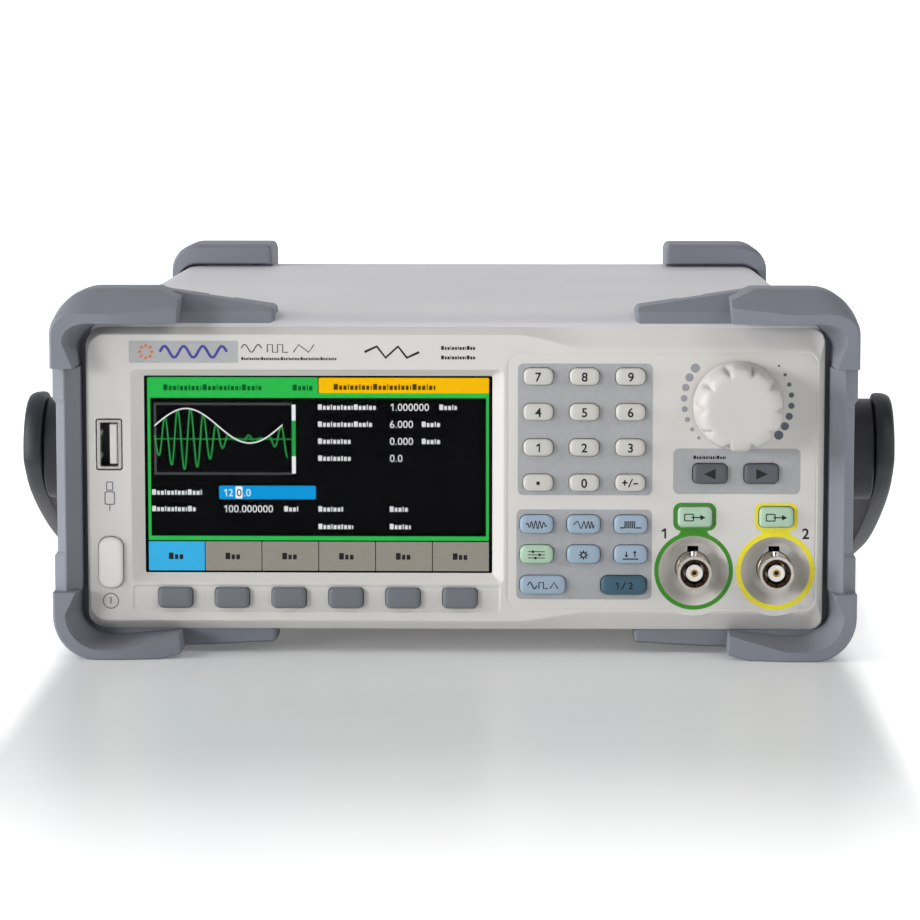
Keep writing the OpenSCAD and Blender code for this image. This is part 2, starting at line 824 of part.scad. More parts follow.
module handle_hubs() {
    hub_r = 15.2;
    color([0.15, 0.16, 0.18]) both_sides() {
        pivot_rod(hub_r, case_w / 2, arm_x0 - 0.3);
        pivot_rod(pivot_r, arm_x0 - 1, overall_w / 2 - 3.4);
    }
}

// Side view of an arm: it leaves the hub's tangents and flattens towards the bar.
module arm_profile() {
    translate([pivot_depth, pivot_z]) circle(arm_hub_r);
    polygon([[67, 36.9], [73.5, 35.2], [80.5, 32.4], [93.5, 27.6], [109, 22.5], [134, 15.8],
        [165, 7.6], [184, 2.6], [bar_depth, bar_z0 + 0.3],
        [bar_depth + bar_w / 2 - 2, bar_z0], [bar_depth + bar_w / 2, bar_z0 + 1.6],
        [bar_depth + bar_w / 2, bar_z1 - 0.4], [bar_depth + 4, bar_z1 + 1.4], [176, 14.5], [150, 27.5],
        [118, 44], [98, 56], [84, 66.2], [72, 69.4]]);
}

module carry_handle() {
    bar_x = overall_w / 2;
    color([0.15, 0.16, 0.18]) difference() {
        union() {
            both_sides() across(arm_x0, overall_w / 2) arm_profile();
            across(-bar_x, bar_x) translate([bar_depth, (bar_z0 + bar_z1) / 2])
                rounded_rect(bar_w, bar_z1 - bar_z0, 2.2);
        }
        both_sides() pivot_rod(pivot_r + 0.06, arm_x0 - 1, overall_w / 2 - 3);
    }
}

front_panel();
display_window();
display_module();
keypad_mat();
front_board();
encoder_body();
usb_host_port();
output_bnc_shells();
output_bnc_cores();
case_cover();
chassis_tray();
rear_panel();
front_bumper_left();
front_bumper_right();
rear_bumper_left();
rear_bumper_right();
main_board();
power_supply();
ribbon_cable();
fan_frame();
rear_bnc_sockets();
mains_inlet();
rear_data_ports();
rear_screw_set();
handle_hubs();
carry_handle();
control_knob();
encoder_shaft();
fan_rotor();
for (k = keys) key(k);
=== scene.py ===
"""Looks of the two-channel bench function generator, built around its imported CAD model.

Sizes are in millimetres until a mesh is made. A place is (across, depth, up): across is to the right seen
from the front, depth counts backwards from the front edge of the bumpers, and up is above the bench.
"""

import math

import bmesh
import bpy
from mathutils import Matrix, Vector


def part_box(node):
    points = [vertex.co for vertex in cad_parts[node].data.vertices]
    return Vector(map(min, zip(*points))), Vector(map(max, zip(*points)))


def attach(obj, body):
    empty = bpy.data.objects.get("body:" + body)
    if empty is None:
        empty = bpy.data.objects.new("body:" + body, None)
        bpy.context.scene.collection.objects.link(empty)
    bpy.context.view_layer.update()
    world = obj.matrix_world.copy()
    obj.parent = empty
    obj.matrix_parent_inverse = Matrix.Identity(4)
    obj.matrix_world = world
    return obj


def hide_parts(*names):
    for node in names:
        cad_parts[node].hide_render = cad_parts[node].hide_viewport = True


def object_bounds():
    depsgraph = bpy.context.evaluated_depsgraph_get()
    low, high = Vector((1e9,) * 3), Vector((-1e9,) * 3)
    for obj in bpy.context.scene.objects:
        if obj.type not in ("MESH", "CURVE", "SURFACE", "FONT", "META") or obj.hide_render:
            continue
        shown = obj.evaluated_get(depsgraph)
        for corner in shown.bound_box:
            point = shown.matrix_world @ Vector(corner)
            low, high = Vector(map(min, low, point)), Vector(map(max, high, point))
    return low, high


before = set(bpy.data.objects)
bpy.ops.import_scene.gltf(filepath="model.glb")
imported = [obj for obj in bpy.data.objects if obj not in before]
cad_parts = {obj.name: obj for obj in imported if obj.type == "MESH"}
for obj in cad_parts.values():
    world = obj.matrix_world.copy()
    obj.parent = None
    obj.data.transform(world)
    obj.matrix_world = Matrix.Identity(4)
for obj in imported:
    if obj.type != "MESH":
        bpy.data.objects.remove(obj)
cad_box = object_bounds()

MM = 0.001
KNOB_LEAD = 5.0  # how far the knob stands out in front of the bumpers
FRONT_Y = cad_box[0].y / MM + KNOB_LEAD
BODY = "instrument"
FACE = 10.0  # depth of the front panel's face
BACK = 12.5  # depth of its back


# ---------- Places ----------

def at(across, depth, up):
    """A place in the shared frame, in metres."""
    return Vector((across, FRONT_Y + depth, up)) * MM


def span(node):
    """A CAD node's sides in millimetres: across, depth and up, each as (low, high)."""
    lo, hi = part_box(node)
    return ((lo.x / MM, hi.x / MM), (lo.y / MM - FRONT_Y, hi.y / MM - FRONT_Y), (lo.z / MM, hi.z / MM))


def middle(pair):
    return (pair[0] + pair[1]) / 2


def ease(u):
    """A smooth step from 0 to 1."""
    u = max(0.0, min(1.0, u))
    return u * u * (3 - 2 * u)


def mix(a, b, u):
    return a + (b - a) * u


def direction(degrees):
    """The cosine and sine of an angle."""
    return math.cos(math.radians(degrees)), math.sin(math.radians(degrees))


def rounded(x0, x1, z0, z1, r, steps=6):
    """Points round a rectangle with round corners, as (across, up), from the right side anticlockwise."""
    r = max(0.01, min(r, (x1 - x0) / 2 - 0.01, (z1 - z0) / 2 - 0.01))
    points = []
    corners = ((x1 - r, z1 - r), (x0 + r, z1 - r), (x0 + r, z0 + r), (x1 - r, z0 + r))
    for quarter, (cx, cz) in enumerate(corners):
        for i in range(steps + 1):
            c, s = direction(90 * (quarter + i / steps))
            points.append((cx + r * c, cz + r * s))
    return points


def round_box(cx, cz, w, h, r, grow=0.0):
    """The same round a middle, with the sides and the radius grown by a distance."""
    across, up = w / 2 + grow, h / 2 + grow
    return rounded(cx - across, cx + across, cz - up, cz + up, r + grow)


def circle(cx, cz, r, count=48):
    return [(cx + r * math.cos(2 * math.pi * i / count), cz + r * math.sin(2 * math.pi * i / count))
            for i in range(count)]


# ---------- Mesh building ----------

class Solid:
    """One piece's mesh, put together from rings of points."""

    def __init__(self):
        self.mesh = bmesh.new()

    def ring(self, outline, depth):
        """A ring from (across, up) points at one depth."""
        return [self.mesh.verts.new(at(x, depth, z)) for x, z in outline]

    def row(self, places):
        return [self.mesh.verts.new(at(*p)) for p in places]

    def bridge(self, a, b, closed=True):
        count = len(a) if closed else len(a) - 1
        for i in range(count):
            j = (i + 1) % len(a)
            self.mesh.faces.new((a[i], a[j], b[j], b[i]))

    def loft(self, rings, start=False, end=False, closed=True):
        """Joins rings one after the other, and closes the first or last one."""
        for a, b in zip(rings, rings[1:]):
            self.bridge(a, b, closed)
        if start:
            self.mesh.faces.new(rings[0])
        if end:
            self.mesh.faces.new(rings[-1])

    def fill(self, *rings):
        """A flat face inside the first ring, open inside the others."""
        edges = []
        for ring in rings:
            for a, b in zip(ring, ring[1:] + ring[:1]):
                edges.append(self.mesh.edges.get((a, b)) or self.mesh.edges.new((a, b)))
        bmesh.ops.triangle_fill(self.mesh, use_beauty=True, edges=edges)

    def finish(self, name, body, material, slot, replaces=(), sharp=35, weighted=True):
        bmesh.ops.recalc_face_normals(self.mesh, faces=self.mesh.faces)
        data = bpy.data.meshes.new(name)
        self.mesh.to_mesh(data)
        self.mesh.free()
        return piece(name, data, body, material, replaces, sharp, weighted)


def placed(name, data):
    """A new object in the scene."""
    obj = bpy.data.objects.new(name, data)
    bpy.context.scene.collection.objects.link(obj)
    return obj


def piece(name, data, body, material, replaces=(), sharp=35, weighted=True):
    """A shown piece that rides on a body, smooth except at its sharp edges."""
    data.shade_smooth()
    data.set_sharp_from_angle(angle=math.radians(sharp))
    data.materials.append(material)
    obj = placed(name, data)
    if weighted:
        weigh(obj)
    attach(obj, body)
    if replaces:
        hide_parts(*replaces)
    return obj


def weigh(obj):
    """Large flat faces keep their own shading beside small round ones."""
    normals = obj.modifiers.new("normals", "WEIGHTED_NORMAL")
    normals.keep_sharp = True
    normals.weight = 100


def lathe(solid, cx, cz, profile, count=64):
    """Rings round an axis along the depth, from (radius, depth) points."""
    return [solid.ring(circle(cx, cz, r, count), depth) for r, depth in profile]


def round_edges(obj, width, segments, angle):
    """A bevel on every edge that bends by more than an angle."""
    bevel = obj.modifiers.new("bevel", "BEVEL")
    bevel.width = width * MM
    bevel.segments = segments
    bevel.limit_method = "ANGLE"
    bevel.angle_limit = math.radians(angle)
    bevel.harden_normals = True
    return bevel


def soften(node, width, material, segments=2, merge_flat=True):
    """Keeps a CAD node as it is and rounds its edges with modifiers."""
    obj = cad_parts[node]
    weld = obj.modifiers.new("weld", "WELD")
    weld.merge_threshold = 0.00001
    if merge_flat:
        flat = obj.modifiers.new("flat", "DECIMATE")
        flat.decimate_type = "DISSOLVE"
        flat.angle_limit = math.radians(1)
    round_edges(obj, width, segments, 30).miter_outer = "MITER_ARC"
    weigh(obj)
    paint(node, material)


def paint(node, material):
    """Gives a CAD node its material in each of its slots."""
    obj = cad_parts[node]
    if not obj.material_slots:
        obj.data.materials.append(material)
    for place in obj.material_slots:
        place.material = material


class Ink(Solid):
    """Flat artwork on a face: patches, strokes, hoops and digits of one colour."""

    def __init__(self, depth, thickness=0.03):
        super().__init__()
        self.depth = depth
        self.thickness = thickness

    def patch(self, outline):
        self.mesh.faces.new(self.ring(outline, self.depth))

    def bar(self, x0, x1, z0, z1, r=0.0):
        self.patch(rounded(x0, x1, z0, z1, r, 4) if r else [(x0, z0), (x1, z0), (x1, z1), (x0, z1)])

    def disc(self, x, z, r):
        self.patch(circle(x, z, r, 24))

    def band(self, inner, outer, closed=True):
        self.bridge(self.ring(inner, self.depth), self.ring(outer, self.depth), closed)

    def frame(self, x0, x1, z0, z1, r, width):
        self.band(rounded(x0 + width, x1 - width, z0 + width, z1 - width, r - width / 2, 5),
                  rounded(x0, x1, z0, z1, r, 5))

    def hoop(self, x, z, r, width):
        self.band(circle(x, z, r - width, 64), circle(x, z, r, 64))

    def stroke(self, points, width):
        """A line of even width through (across, up) points."""
        left, right = [], []
        for i, (x, z) in enumerate(points):
            ax, az = points[max(0, i - 1)]
            bx, bz = points[min(len(points) - 1, i + 1)]
            length = math.hypot(bx - ax, bz - az) or 1.0
            nx, nz = -(bz - az) / length * width / 2, (bx - ax) / length * width / 2
            left.append((x + nx, z + nz))
            right.append((x - nx, z - nz))
        self.band(left, right, closed=False)

    def glyph(self, character, x, z, height, bold):
        """One figure centred at a place, from Blender's own font."""
        curve = bpy.data.curves.new("figure", "FONT")
        curve.body = character
        curve.offset = bold
        holder = placed("figure", curve)
        bpy.context.view_layer.update()
        flat = bpy.data.meshes.new_from_object(holder.evaluated_get(bpy.context.evaluated_depsgraph_get()))
        across = [v.co.x for v in flat.vertices]
        font_height = 0.69
        scale = height / font_height
        left = x - middle((min(across), max(across))) * scale
        low = z - height / 2
        made = self.ring([(left + v.co.x * scale, low + v.co.y * scale) for v in flat.vertices], self.depth)
        for face in flat.polygons:
            self.mesh.faces.new([made[i] for i in face.vertices])
        bpy.data.objects.remove(holder)
        bpy.data.curves.remove(curve)
        bpy.data.meshes.remove(flat)

    def one(self, x, z, height, stem):
        """The figure 1, with a flag."""
        right, top = x + 0.12 * height + stem / 2, z + height / 2
        left = right - stem
        self.patch([(left, z - height / 2), (right, z - height / 2), (right, top), (left + 0.1 * stem, top),
                    (left - 0.26 * height, top - 0.2 * height), (left - 0.26 * height, top - 0.36 * height),
                    (left, top - 0.26 * height)])

    def digits(self, text, x, z, height, anchor=0.5, bold=0.0):
        """Figures of a given height; anchor 0 starts them at x and 0.5 centres them there."""
        stem = height * (0.13 + 2.2 * bold)
        widths = [height * (0.36 if c == "." else 0.74) for c in text]
        start = x - sum(widths) * anchor
        for character, width in zip(text, widths):
            centre = start + width / 2
            if character == "1":
                self.one(centre, z, height, stem)
            elif character == ".":
                self.bar(centre - stem / 2, centre + stem / 2, z - height / 2, z - height / 2 + stem)
            else:
                self.glyph(character, centre, z, height, bold)
            start += width

    def finish(self, name, body, material, slot):
        """Gives the flat faces their thickness, towards the front."""
        for part in bmesh.ops.extrude_face_region(self.mesh, geom=list(self.mesh.faces))["geom"]:
            if isinstance(part, bmesh.types.BMVert):
                part.co.y -= self.thickness * MM
        super().finish(name, body, material, slot, weighted=False)


# ---------- Materials ----------

def srgb(r, g, b):
    """A screen colour from 0 to 255 as the linear one that a shader takes."""
    def linear(c):
        c = c / 255
        return c / 12.92 if c <= 0.04045 else ((c + 0.055) / 1.055) ** 2.4
    return (linear(r), linear(g), linear(b), 1.0)


class Maker:
    """Builds one node material."""

    def __init__(self, name):
        self.material = bpy.data.materials.new(name)
        self.material.use_nodes = True
        self.nodes = self.material.node_tree.nodes
        self.links = self.material.node_tree.links
        self.shader = self.nodes["Principled BSDF"]
        self.place = self.nodes.new("ShaderNodeTexCoord").outputs["Object"]

    def add(self, kind, vector, **values):
        """A node that reads a place, with values for its inputs."""
        node = self.nodes.new("ShaderNode" + kind)
        for name, value in values.items():
            node.inputs[name.replace("_", " ")].default_value = value
        self.links.new(vector, node.inputs["Vector"])
        return node

    def noise(self, scale, detail=2.0, stretch=None):
        """Noise with features about 1/scale metres across."""
        vector = self.add("Mapping", self.place, Scale=stretch).outputs["Vector"] if stretch else self.place
        return self.add("TexNoise", vector, Scale=scale, Detail=detail).outputs["Fac"]

    def pebbles(self, scale):
        node = self.add("TexVoronoi", self.place, Scale=scale)
        node.feature = "SMOOTH_F1"
        return node.outputs["Distance"]

    def spread(self, value, low, high):
        """Stretches a 0 to 1 value to low to high, about its middle part."""
        node = self.nodes.new("ShaderNodeMapRange")
        node.inputs["From Min"].default_value = 0.3
        node.inputs["From Max"].default_value = 0.7
        node.inputs["To Min"].default_value = low
        node.inputs["To Max"].default_value = high
        self.links.new(value, node.inputs["Value"])
        return node.outputs["Result"]

    def between(self, value, first, second):
        node = self.nodes.new("ShaderNodeMix")
        node.data_type = "RGBA"
        node.inputs["A"].default_value = first
        node.inputs["B"].default_value = second
        self.links.new(self.spread(value, 0, 1), node.inputs["Factor"])
        return node.outputs["Result"]

    def colour(self, first, second, value):
        self.links.new(self.between(value, first, second), self.shader.inputs["Base Color"])

    def rough(self, low, high, value):
        self.links.new(self.spread(value, low, high), self.shader.inputs["Roughness"])

    def bump(self, value, height, strength=1.0):
        node = self.nodes.new("ShaderNodeBump")
        node.inputs["Distance"].default_value = height * MM
        node.inputs["Strength"].default_value = strength
        self.links.new(value, node.inputs["Height"])
        if self.shader.inputs["Normal"].is_linked:
            self.links.new(self.shader.inputs["Normal"].links[0].from_socket, node.inputs["Normal"])
        self.links.new(node.outputs["Normal"], self.shader.inputs["Normal"])

    def set(self, **values):
        for name, value in values.items():
            self.shader.inputs[name.replace("_", " ")].default_value = value


def tint(colour, amount):
    return (colour[0] * amount, colour[1] * amount, colour[2] * amount, 1.0)


def moulded(name, colour, rough, grain, grain_scale, mottle, specular=0.4):
    """Moulded plastic or rubber with a fine eroded grain and slightly uneven colour."""
    made = Maker(name)
    wide = made.noise(22, 3)
    fine = made.noise(grain_scale, 3)
    made.colour(tint(colour, 1 - mottle), tint(colour, 1 + mottle), wide)
    made.rough(rough - 0.05, rough + 0.06, fine)
    made.bump(fine, grain)
    made.bump(made.noise(60, 1), 0.02)
    made.set(Specular_IOR_Level=specular)
    return made.material


def powder_coat(name, colour, rough=0.48):
    """Baked texture paint: small soft pebbles."""
    made = Maker(name)
    pebbles = made.pebbles(900)
    fine = made.noise(2600, 2)
    made.colour(tint(colour, 0.96), tint(colour, 1.03), made.noise(14, 3))
    made.rough(rough - 0.04, rough + 0.08, fine)
    made.bump(pebbles, 0.03, 0.5)
    made.bump(fine, 0.008)
    made.set(Specular_IOR_Level=0.4)
    return made.material


def metal(name, colour, rough, lines=(1, 1, 1), scale=500):
    """Plated or bare metal with fine tool marks, drawn out along lines."""
    made = Maker(name)
    marks = made.noise(scale, 4, lines)
    made.colour(tint(colour, 0.9), tint(colour, 1.06), marks)
    made.rough(rough - 0.07, rough + 0.1, made.noise(90, 3))
    made.bump(marks, 0.004)
    made.set(Metallic=1.0)
    return made.material


def ink(name, colour, rough=0.5):
    """Printed ink, a little uneven as a screen print is."""
    made = Maker(name)
    cover = made.noise(700, 3)
    made.colour(tint(colour, 0.95), tint(colour, 1.05), cover)
    made.rough(rough - 0.04, rough + 0.06, cover)
    made.bump(cover, 0.004)
    return made.material


def lit(name, colour):
    """Light from the display, with the faint row structure of its cells."""
    made = Maker(name)
    rows = made.noise(2500, 1, (0.2, 1, 1))
    made.set(Base_Color=(0.0, 0.0, 0.0, 1.0), Roughness=0.6, Specular_IOR_Level=0.0)
    shade = made.between(rows, tint(colour, 0.94), tint(colour, 1.04))
    made.links.new(shade, made.shader.inputs["Emission Color"])
    made.set(Emission_Strength=1.0)
    return made.material


def glass(name):
    made = Maker(name)
    made.set(Base_Color=(0.97, 0.98, 0.98, 1.0), Transmission_Weight=1.0, IOR=1.1, Specular_IOR_Level=0.25)
    made.rough(0.0, 0.02, made.noise(40, 2))
    made.bump(made.noise(30, 1), 0.002)
    return made.material


def circuit(name, colour):
    """Solder mask over copper tracks: squarish cells with raised lines."""
    made = Maker(name)
    bricks = made.add("TexBrick", made.place, Scale=260, Mortar_Size=0.03, Color1=tint(colour, 0.85),
                      Color2=tint(colour, 1.1), Mortar=tint(colour, 1.9))
    made.links.new(bricks.outputs["Color"], made.shader.inputs["Base Color"])
    made.rough(0.3, 0.45, made.noise(300, 2))
    made.bump(bricks.outputs["Fac"], 0.03)
    made.set(Coat_Weight=0.3)
    return made.material


def striped(name, colour):
    """Flat cable: parallel rounded cores."""
    made = Maker(name)
    cores = made.add("TexWave", made.place, Scale=125)
    cores.bands_direction = "X"
    made.colour(tint(colour, 0.75), colour, cores.outputs["Fac"])
    made.bump(cores.outputs["Fac"], 0.3)
    made.rough(0.4, 0.5, made.noise(500, 2))
    return made.material


PANEL = moulded("panel_plastic", srgb(214, 211, 207), 0.52, 0.010, 1500, 0.012)
CASE = powder_coat("case_paint", srgb(206, 204, 209))
REAR = powder_coat("rear_paint", srgb(196, 197, 200), 0.52)
RUBBER = moulded("bumper_rubber", srgb(122, 125, 134), 0.62, 0.014, 1300, 0.03, 0.35)
HANDLE = moulded("handle_plastic", srgb(40, 42, 47), 0.5, 0.016, 1200, 0.05)
BLACK = moulded("black_plastic", srgb(30, 31, 33), 0.45, 0.012, 1400, 0.06)
KNOB = moulded("knob_plastic", srgb(203, 199, 196), 0.42, 0.006, 1800, 0.01)
WHITE = moulded("button_white", srgb(226, 223, 218), 0.36, 0.004, 1800, 0.008)
INSULATOR = moulded("insulator_white", srgb(240, 238, 232), 0.4, 0.004, 1500, 0.01)
SILICONE = moulded("silicone_clear", srgb(205, 208, 208), 0.55, 0.010, 900, 0.03)
IVORY = moulded("key_ivory", srgb(202, 200, 195), 0.5, 0.006, 1600, 0.012)
BLUE = moulded("key_blue", srgb(154, 173, 191), 0.5, 0.006, 1600, 0.012)
TEAL = moulded("key_teal", srgb(60, 93, 112), 0.5, 0.006, 1600, 0.02)
GREY = moulded("key_grey", srgb(90, 92, 97), 0.5, 0.006, 1600, 0.02)
SOFTKEY = moulded("softkey_rubber", srgb(110, 114, 121), 0.55, 0.010, 1500, 0.02)
GREEN = moulded("key_green", srgb(173, 202, 178), 0.5, 0.006, 1600, 0.012)
NICKEL = metal("nickel_plate", srgb(226, 220, 212), 0.22)
STEEL = metal("plated_steel", srgb(205, 204, 200), 0.32, (1, 0.1, 1), 700)
SCREW = metal("screw_steel", srgb(200, 200, 202), 0.28)
GOLD = metal("contact_gold", srgb(240, 196, 110), 0.22)
LCD = metal("lcd_frame", srgb(150, 152, 156), 0.4)
WINDOW = glass("window_glass")
PCB = circuit("circuit_board", srgb(34, 104, 62))
RIBBON = striped("ribbon_grey", srgb(190, 190, 192))


# ---------- Front panel ----------

PANEL_X, _, PANEL_Z = span("front_panel")
WINDOW_X = (span("display_window")[0][0] + 1.5, span("display_window")[0][1] - 1.4)
WINDOW_Z = (span("display_window")[2][0] + 1.6, span("display_window")[2][1] - 1.6)
KNOB_X = middle(span("control_knob")[0])
KNOB_Z = middle(span("control_knob")[2])
BARREL_R = 4.83
OUTPUT_X = (span("output_bnc_shells")[0][0] + BARREL_R, span("output_bnc_shells")[0][1] - BARREL_R)
OUTPUT_Z = middle(span("output_bnc_shells")[2])
USB_X = middle(span("usb_host_port")[0])
USB_Z = middle(span("usb_host_port")[2])
KEY_GAP = 0.18

KEY_NODES = [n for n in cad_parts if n.startswith(("softkey_", "key_", "function_key_", "arrow_key_",
                                                         "output_key_", "power_button"))]


def key_size(node):
    """A key's middle, width and height, without the flange that keeps it in."""
    x, _, z = span(node)
    flange = 0 if node == "power_button" else 1.6
    return middle(x), middle(z), x[1] - x[0] - flange, z[1] - z[0] - 1.6


def key_radius(node):
    if node.startswith(("key_", "function_key_")):
        return 1.9
    return 2.9 if node == "power_button" else 1.4


def panel_line(left, right, tops, bottoms, radii):
    """A line round the panel as (across, up, slope), where slope is 1 above and below and 0 at the sides.

    The top and bottom ease from a left height to a right one near the display's end.
    """
    bend_start, bend_end = 17, 40
    sides, corner_steps = 90, 8
    r0, r1 = radii
    points = []

    def height(pair, x):
        return mix(pair[0], pair[1], ease((x - bend_start) / (bend_end - bend_start)))

    def corner(cx, cz, r, quarter):
        for i in range(corner_steps + 1):
            c, s = direction(90 * (quarter + i / corner_steps))
            points.append((cx + r * c, cz + r * s, s ** 2))

    corner(right - r1, tops[1] - r1, r1, 0)
    for i in range(1, sides):
        x = mix(right - r1, left + r0, i / sides)
        points.append((x, height(tops, x), 1.0))
    corner(left + r0, tops[0] - r0, r0, 1)
    corner(left + r0, bottoms[0] + r0, r0, 2)
    for i in range(1, sides):
        x = mix(left + r0, right - r1, i / sides)
        points.append((x, height(bottoms, x), 1.0))
    corner(right - r1, bottoms[1] + r1, r1, 3)
    return points


def sunk_hole(solid, outline_at, front=FACE, edge=0.14):
    """A hole with a round edge; outline_at gives its outline grown by a distance."""
    rings = [solid.ring(outline_at(grow), depth)
             for grow, depth in ((0.14, front), (0.05, front + 0.04), (0.0, front + edge), (0.0, BACK))]
    solid.loft(rings)
    return rings[0]


def key_hole(solid, node, front=FACE, edge=0.14):
    x, z, w, h = key_size(node)
    r = key_radius(node)
    return sunk_hole(solid, lambda grow: round_box(x, z, w, h, r, KEY_GAP + grow), front, edge)


def output_seat(solid, x):
    """The dish round a coaxial socket, with the hole and key notch in its floor."""
    floor_depth = FACE + 5.3
    count = 64
    profile = ((10.7, FACE), (10.25, FACE + 0.1), (9.95, FACE + 0.5), (8.1, FACE + 4.3), (7.7, FACE + 4.95),
               (7.1, floor_depth))
    rings = lathe(solid, x, OUTPUT_Z, profile, count)
    solid.loft(rings)
    notch_half, notch_top, hole_r = 1.6, 6.4, 5.1
    notch_angle = math.asin(notch_half / hole_r)
    outline = [(x + notch_half, OUTPUT_Z + notch_top), (x - notch_half, OUTPUT_Z + notch_top)]
    for i in range(count + 1):
        angle = math.pi / 2 + notch_angle + (2 * math.pi - 2 * notch_angle) * i / count
        outline.append((x + hole_r * math.cos(angle), OUTPUT_Z + hole_r * math.sin(angle)))
    hole = [solid.ring(outline, depth) for depth in (floor_depth, floor_depth + 2)]
    solid.loft(hole)
    solid.fill(rings[-1], hole[0])
    return rings[0]


def knob_seat(solid):
    """The bushing hole behind the knob."""
    rings = lathe(solid, KNOB_X, KNOB_Z, ((5.4, FACE), (5.2, FACE + 0.2), (5.2, BACK)))
    solid.loft(rings)
    return rings[0]


def groove(solid, outline_at):
    """A fine groove along a closed line: its outer and its inner edge."""
    rings = [solid.ring(outline_at(grow), FACE + depth)
             for grow, depth in ((0.2, 0), (0.08, 0.14), (-0.08, 0.14), (-0.2, 0))]
    solid.loft(rings)
    return rings[0], rings[-1]


def front_panel():
    solid = Solid()
    x0, x1 = PANEL_X
    z0, z1 = PANEL_Z
    crease = panel_line(x0 + 0.9, x1 - 1.9, (91.6, 87.1), (10.1, 13.0), (4.6, 3.4))
    edge = panel_line(x0, x1, (z1, z1), (z0, z0), (5.4, 4.2))
    # Each step is a share of the way from the crease to the edge, its depth above and below, and at the sides
    slope = ((0, 0, 0), (0.06, 0.06, 0.01), (0.14, 0.3, 0.04), (0.26, 0.82, 0.1), (0.5, 2.05, 0.26),
             (0.86, 3.85, 0.6), (0.94, 4.2, 0.72), (0.99, 4.6, 1.0), (1.0, 5.2, 1.6), (1.0, 7.5, 7.5))
    rings = [solid.row([(mix(a[0], b[0], s), FACE + mix(side, d, a[2]), mix(a[1], b[1], s))
                        for a, b in zip(crease, edge)]) for s, d, side in slope]
    solid.loft(rings)
    inner = [(mix(a[0], b[0], 0.3), mix(a[1], b[1], 0.3)) for a, b in zip(crease, edge)]
    solid.loft([rings[-1], solid.ring(inner, FACE + 7.5), solid.ring(inner, FACE + 5)])

    plateau = (15.1, x1 - 2.2, 13.6, 86.5)
    line_out, line_in = groove(solid, lambda g: rounded(plateau[0] - g, plateau[1] + g, plateau[2] - g,
                                                        plateau[3] + g, 3.4 + g, 10))
    bezel_out = (WINDOW_X[0] - 3.6, WINDOW_X[1] + 3.2, WINDOW_Z[0] - 2.7, WINDOW_Z[1] + 2.0)
    bezel = []
    for share, depth, r in ((-0.06, 0, 1.6), (0.0, 0.03, 1.5), (0.06, 0.14, 1.4), (0.93, 2.42, 0.6),
                            (1.0, 2.5, 0.5), (1.0, 2.52, 0.5)):
        sides = [mix(a, b, share) for a, b in zip(bezel_out, (*WINDOW_X, *WINDOW_Z))]
        bezel.append(solid.ring(rounded(*sides, r), FACE + depth))
    solid.loft(bezel)
    strip, strip_deep = (bezel_out[0], 13.2, 12.3, bezel_out[2] - 0.5), 0.35
    strip_rings = [solid.ring(rounded(strip[0] + g, strip[1] - g, strip[2] + g, strip[3] - g, 1.2), FACE + d)
                   for g, d in ((0, 0), (0.15, 0.05), (0.45, 0.32), (0.7, strip_deep))]
    solid.loft(strip_rings)

    usb = sunk_hole(solid, lambda g: round_box(USB_X, USB_Z, 7.6, 14.8, 0.7, g))
    power = key_hole(solid, "power_button")
    right = [key_hole(solid, node) for node in KEY_NODES if not node.startswith(("softkey_", "power_button"))]
    soft = [key_hole(solid, node, FACE + strip_deep, 0.15)
            for node in KEY_NODES if node.startswith("softkey_")]
    seats = [output_seat(solid, x) for x in OUTPUT_X]
    solid.fill(rings[0], line_out, bezel[0], strip_rings[0], usb, power)
    solid.fill(line_in, knob_seat(solid), *seats, *right)
    solid.fill(strip_rings[-1], *soft)
    solid.finish("front_panel_shell", BODY, PANEL, "panel_plastic", ["front_panel"], sharp=50)


# ---------- Keys ----------

def key_cap(node, material, slot):
    """A cap with round edges and a slightly crowned front, on the flange that keeps it in the panel."""
    solid = Solid()
    x, z, w, h = key_size(node)
    (fx0, fx1), (front, back), (fz0, fz1) = span(node)
    r = key_radius(node)
    flange_depth = back - 1
    crown = 0.22
    steps = ((0.0, flange_depth), (0.0, front + 1.1), (-0.06, front + 0.75), (-0.22, front + 0.42),
             (-0.5, front + crown), (-0.9, front + crown * 0.62), (-1.5, front + crown * 0.28))
    rings = [solid.ring(rounded(fx0, fx1, fz0, fz1, r), depth) for depth in (back, flange_depth)]
    rings += [solid.ring(round_box(x, z, w, h, max(r, 0.4 - grow), grow), depth) for grow, depth in steps]
    rings.append(solid.ring(round_box(x, z, w / 2 - 1.5, h / 2 - 1.5, 0.2), front + 0.05))
    solid.loft(rings, start=True, end=True)
    solid.finish(node + "_cap", node, material, slot, [node])


# The first name that a node starts with gives its look
KEY_LOOKS = (("softkey_", SOFTKEY, "softkey_rubber"), ("key_", IVORY, "key_ivory"),
             ("arrow_key_", GREY, "key_grey"), ("output_key_", GREEN, "key_green"),
             ("function_key_4", GREEN, "key_green"), ("function_key_8", TEAL, "key_teal"),
             ("function_key_", BLUE, "key_blue"), ("power_button", WHITE, "button_white"))


def key_look(node):
    return next((material, slot) for start, material, slot in KEY_LOOKS if node.startswith(start))


# ---------- Knob ----------

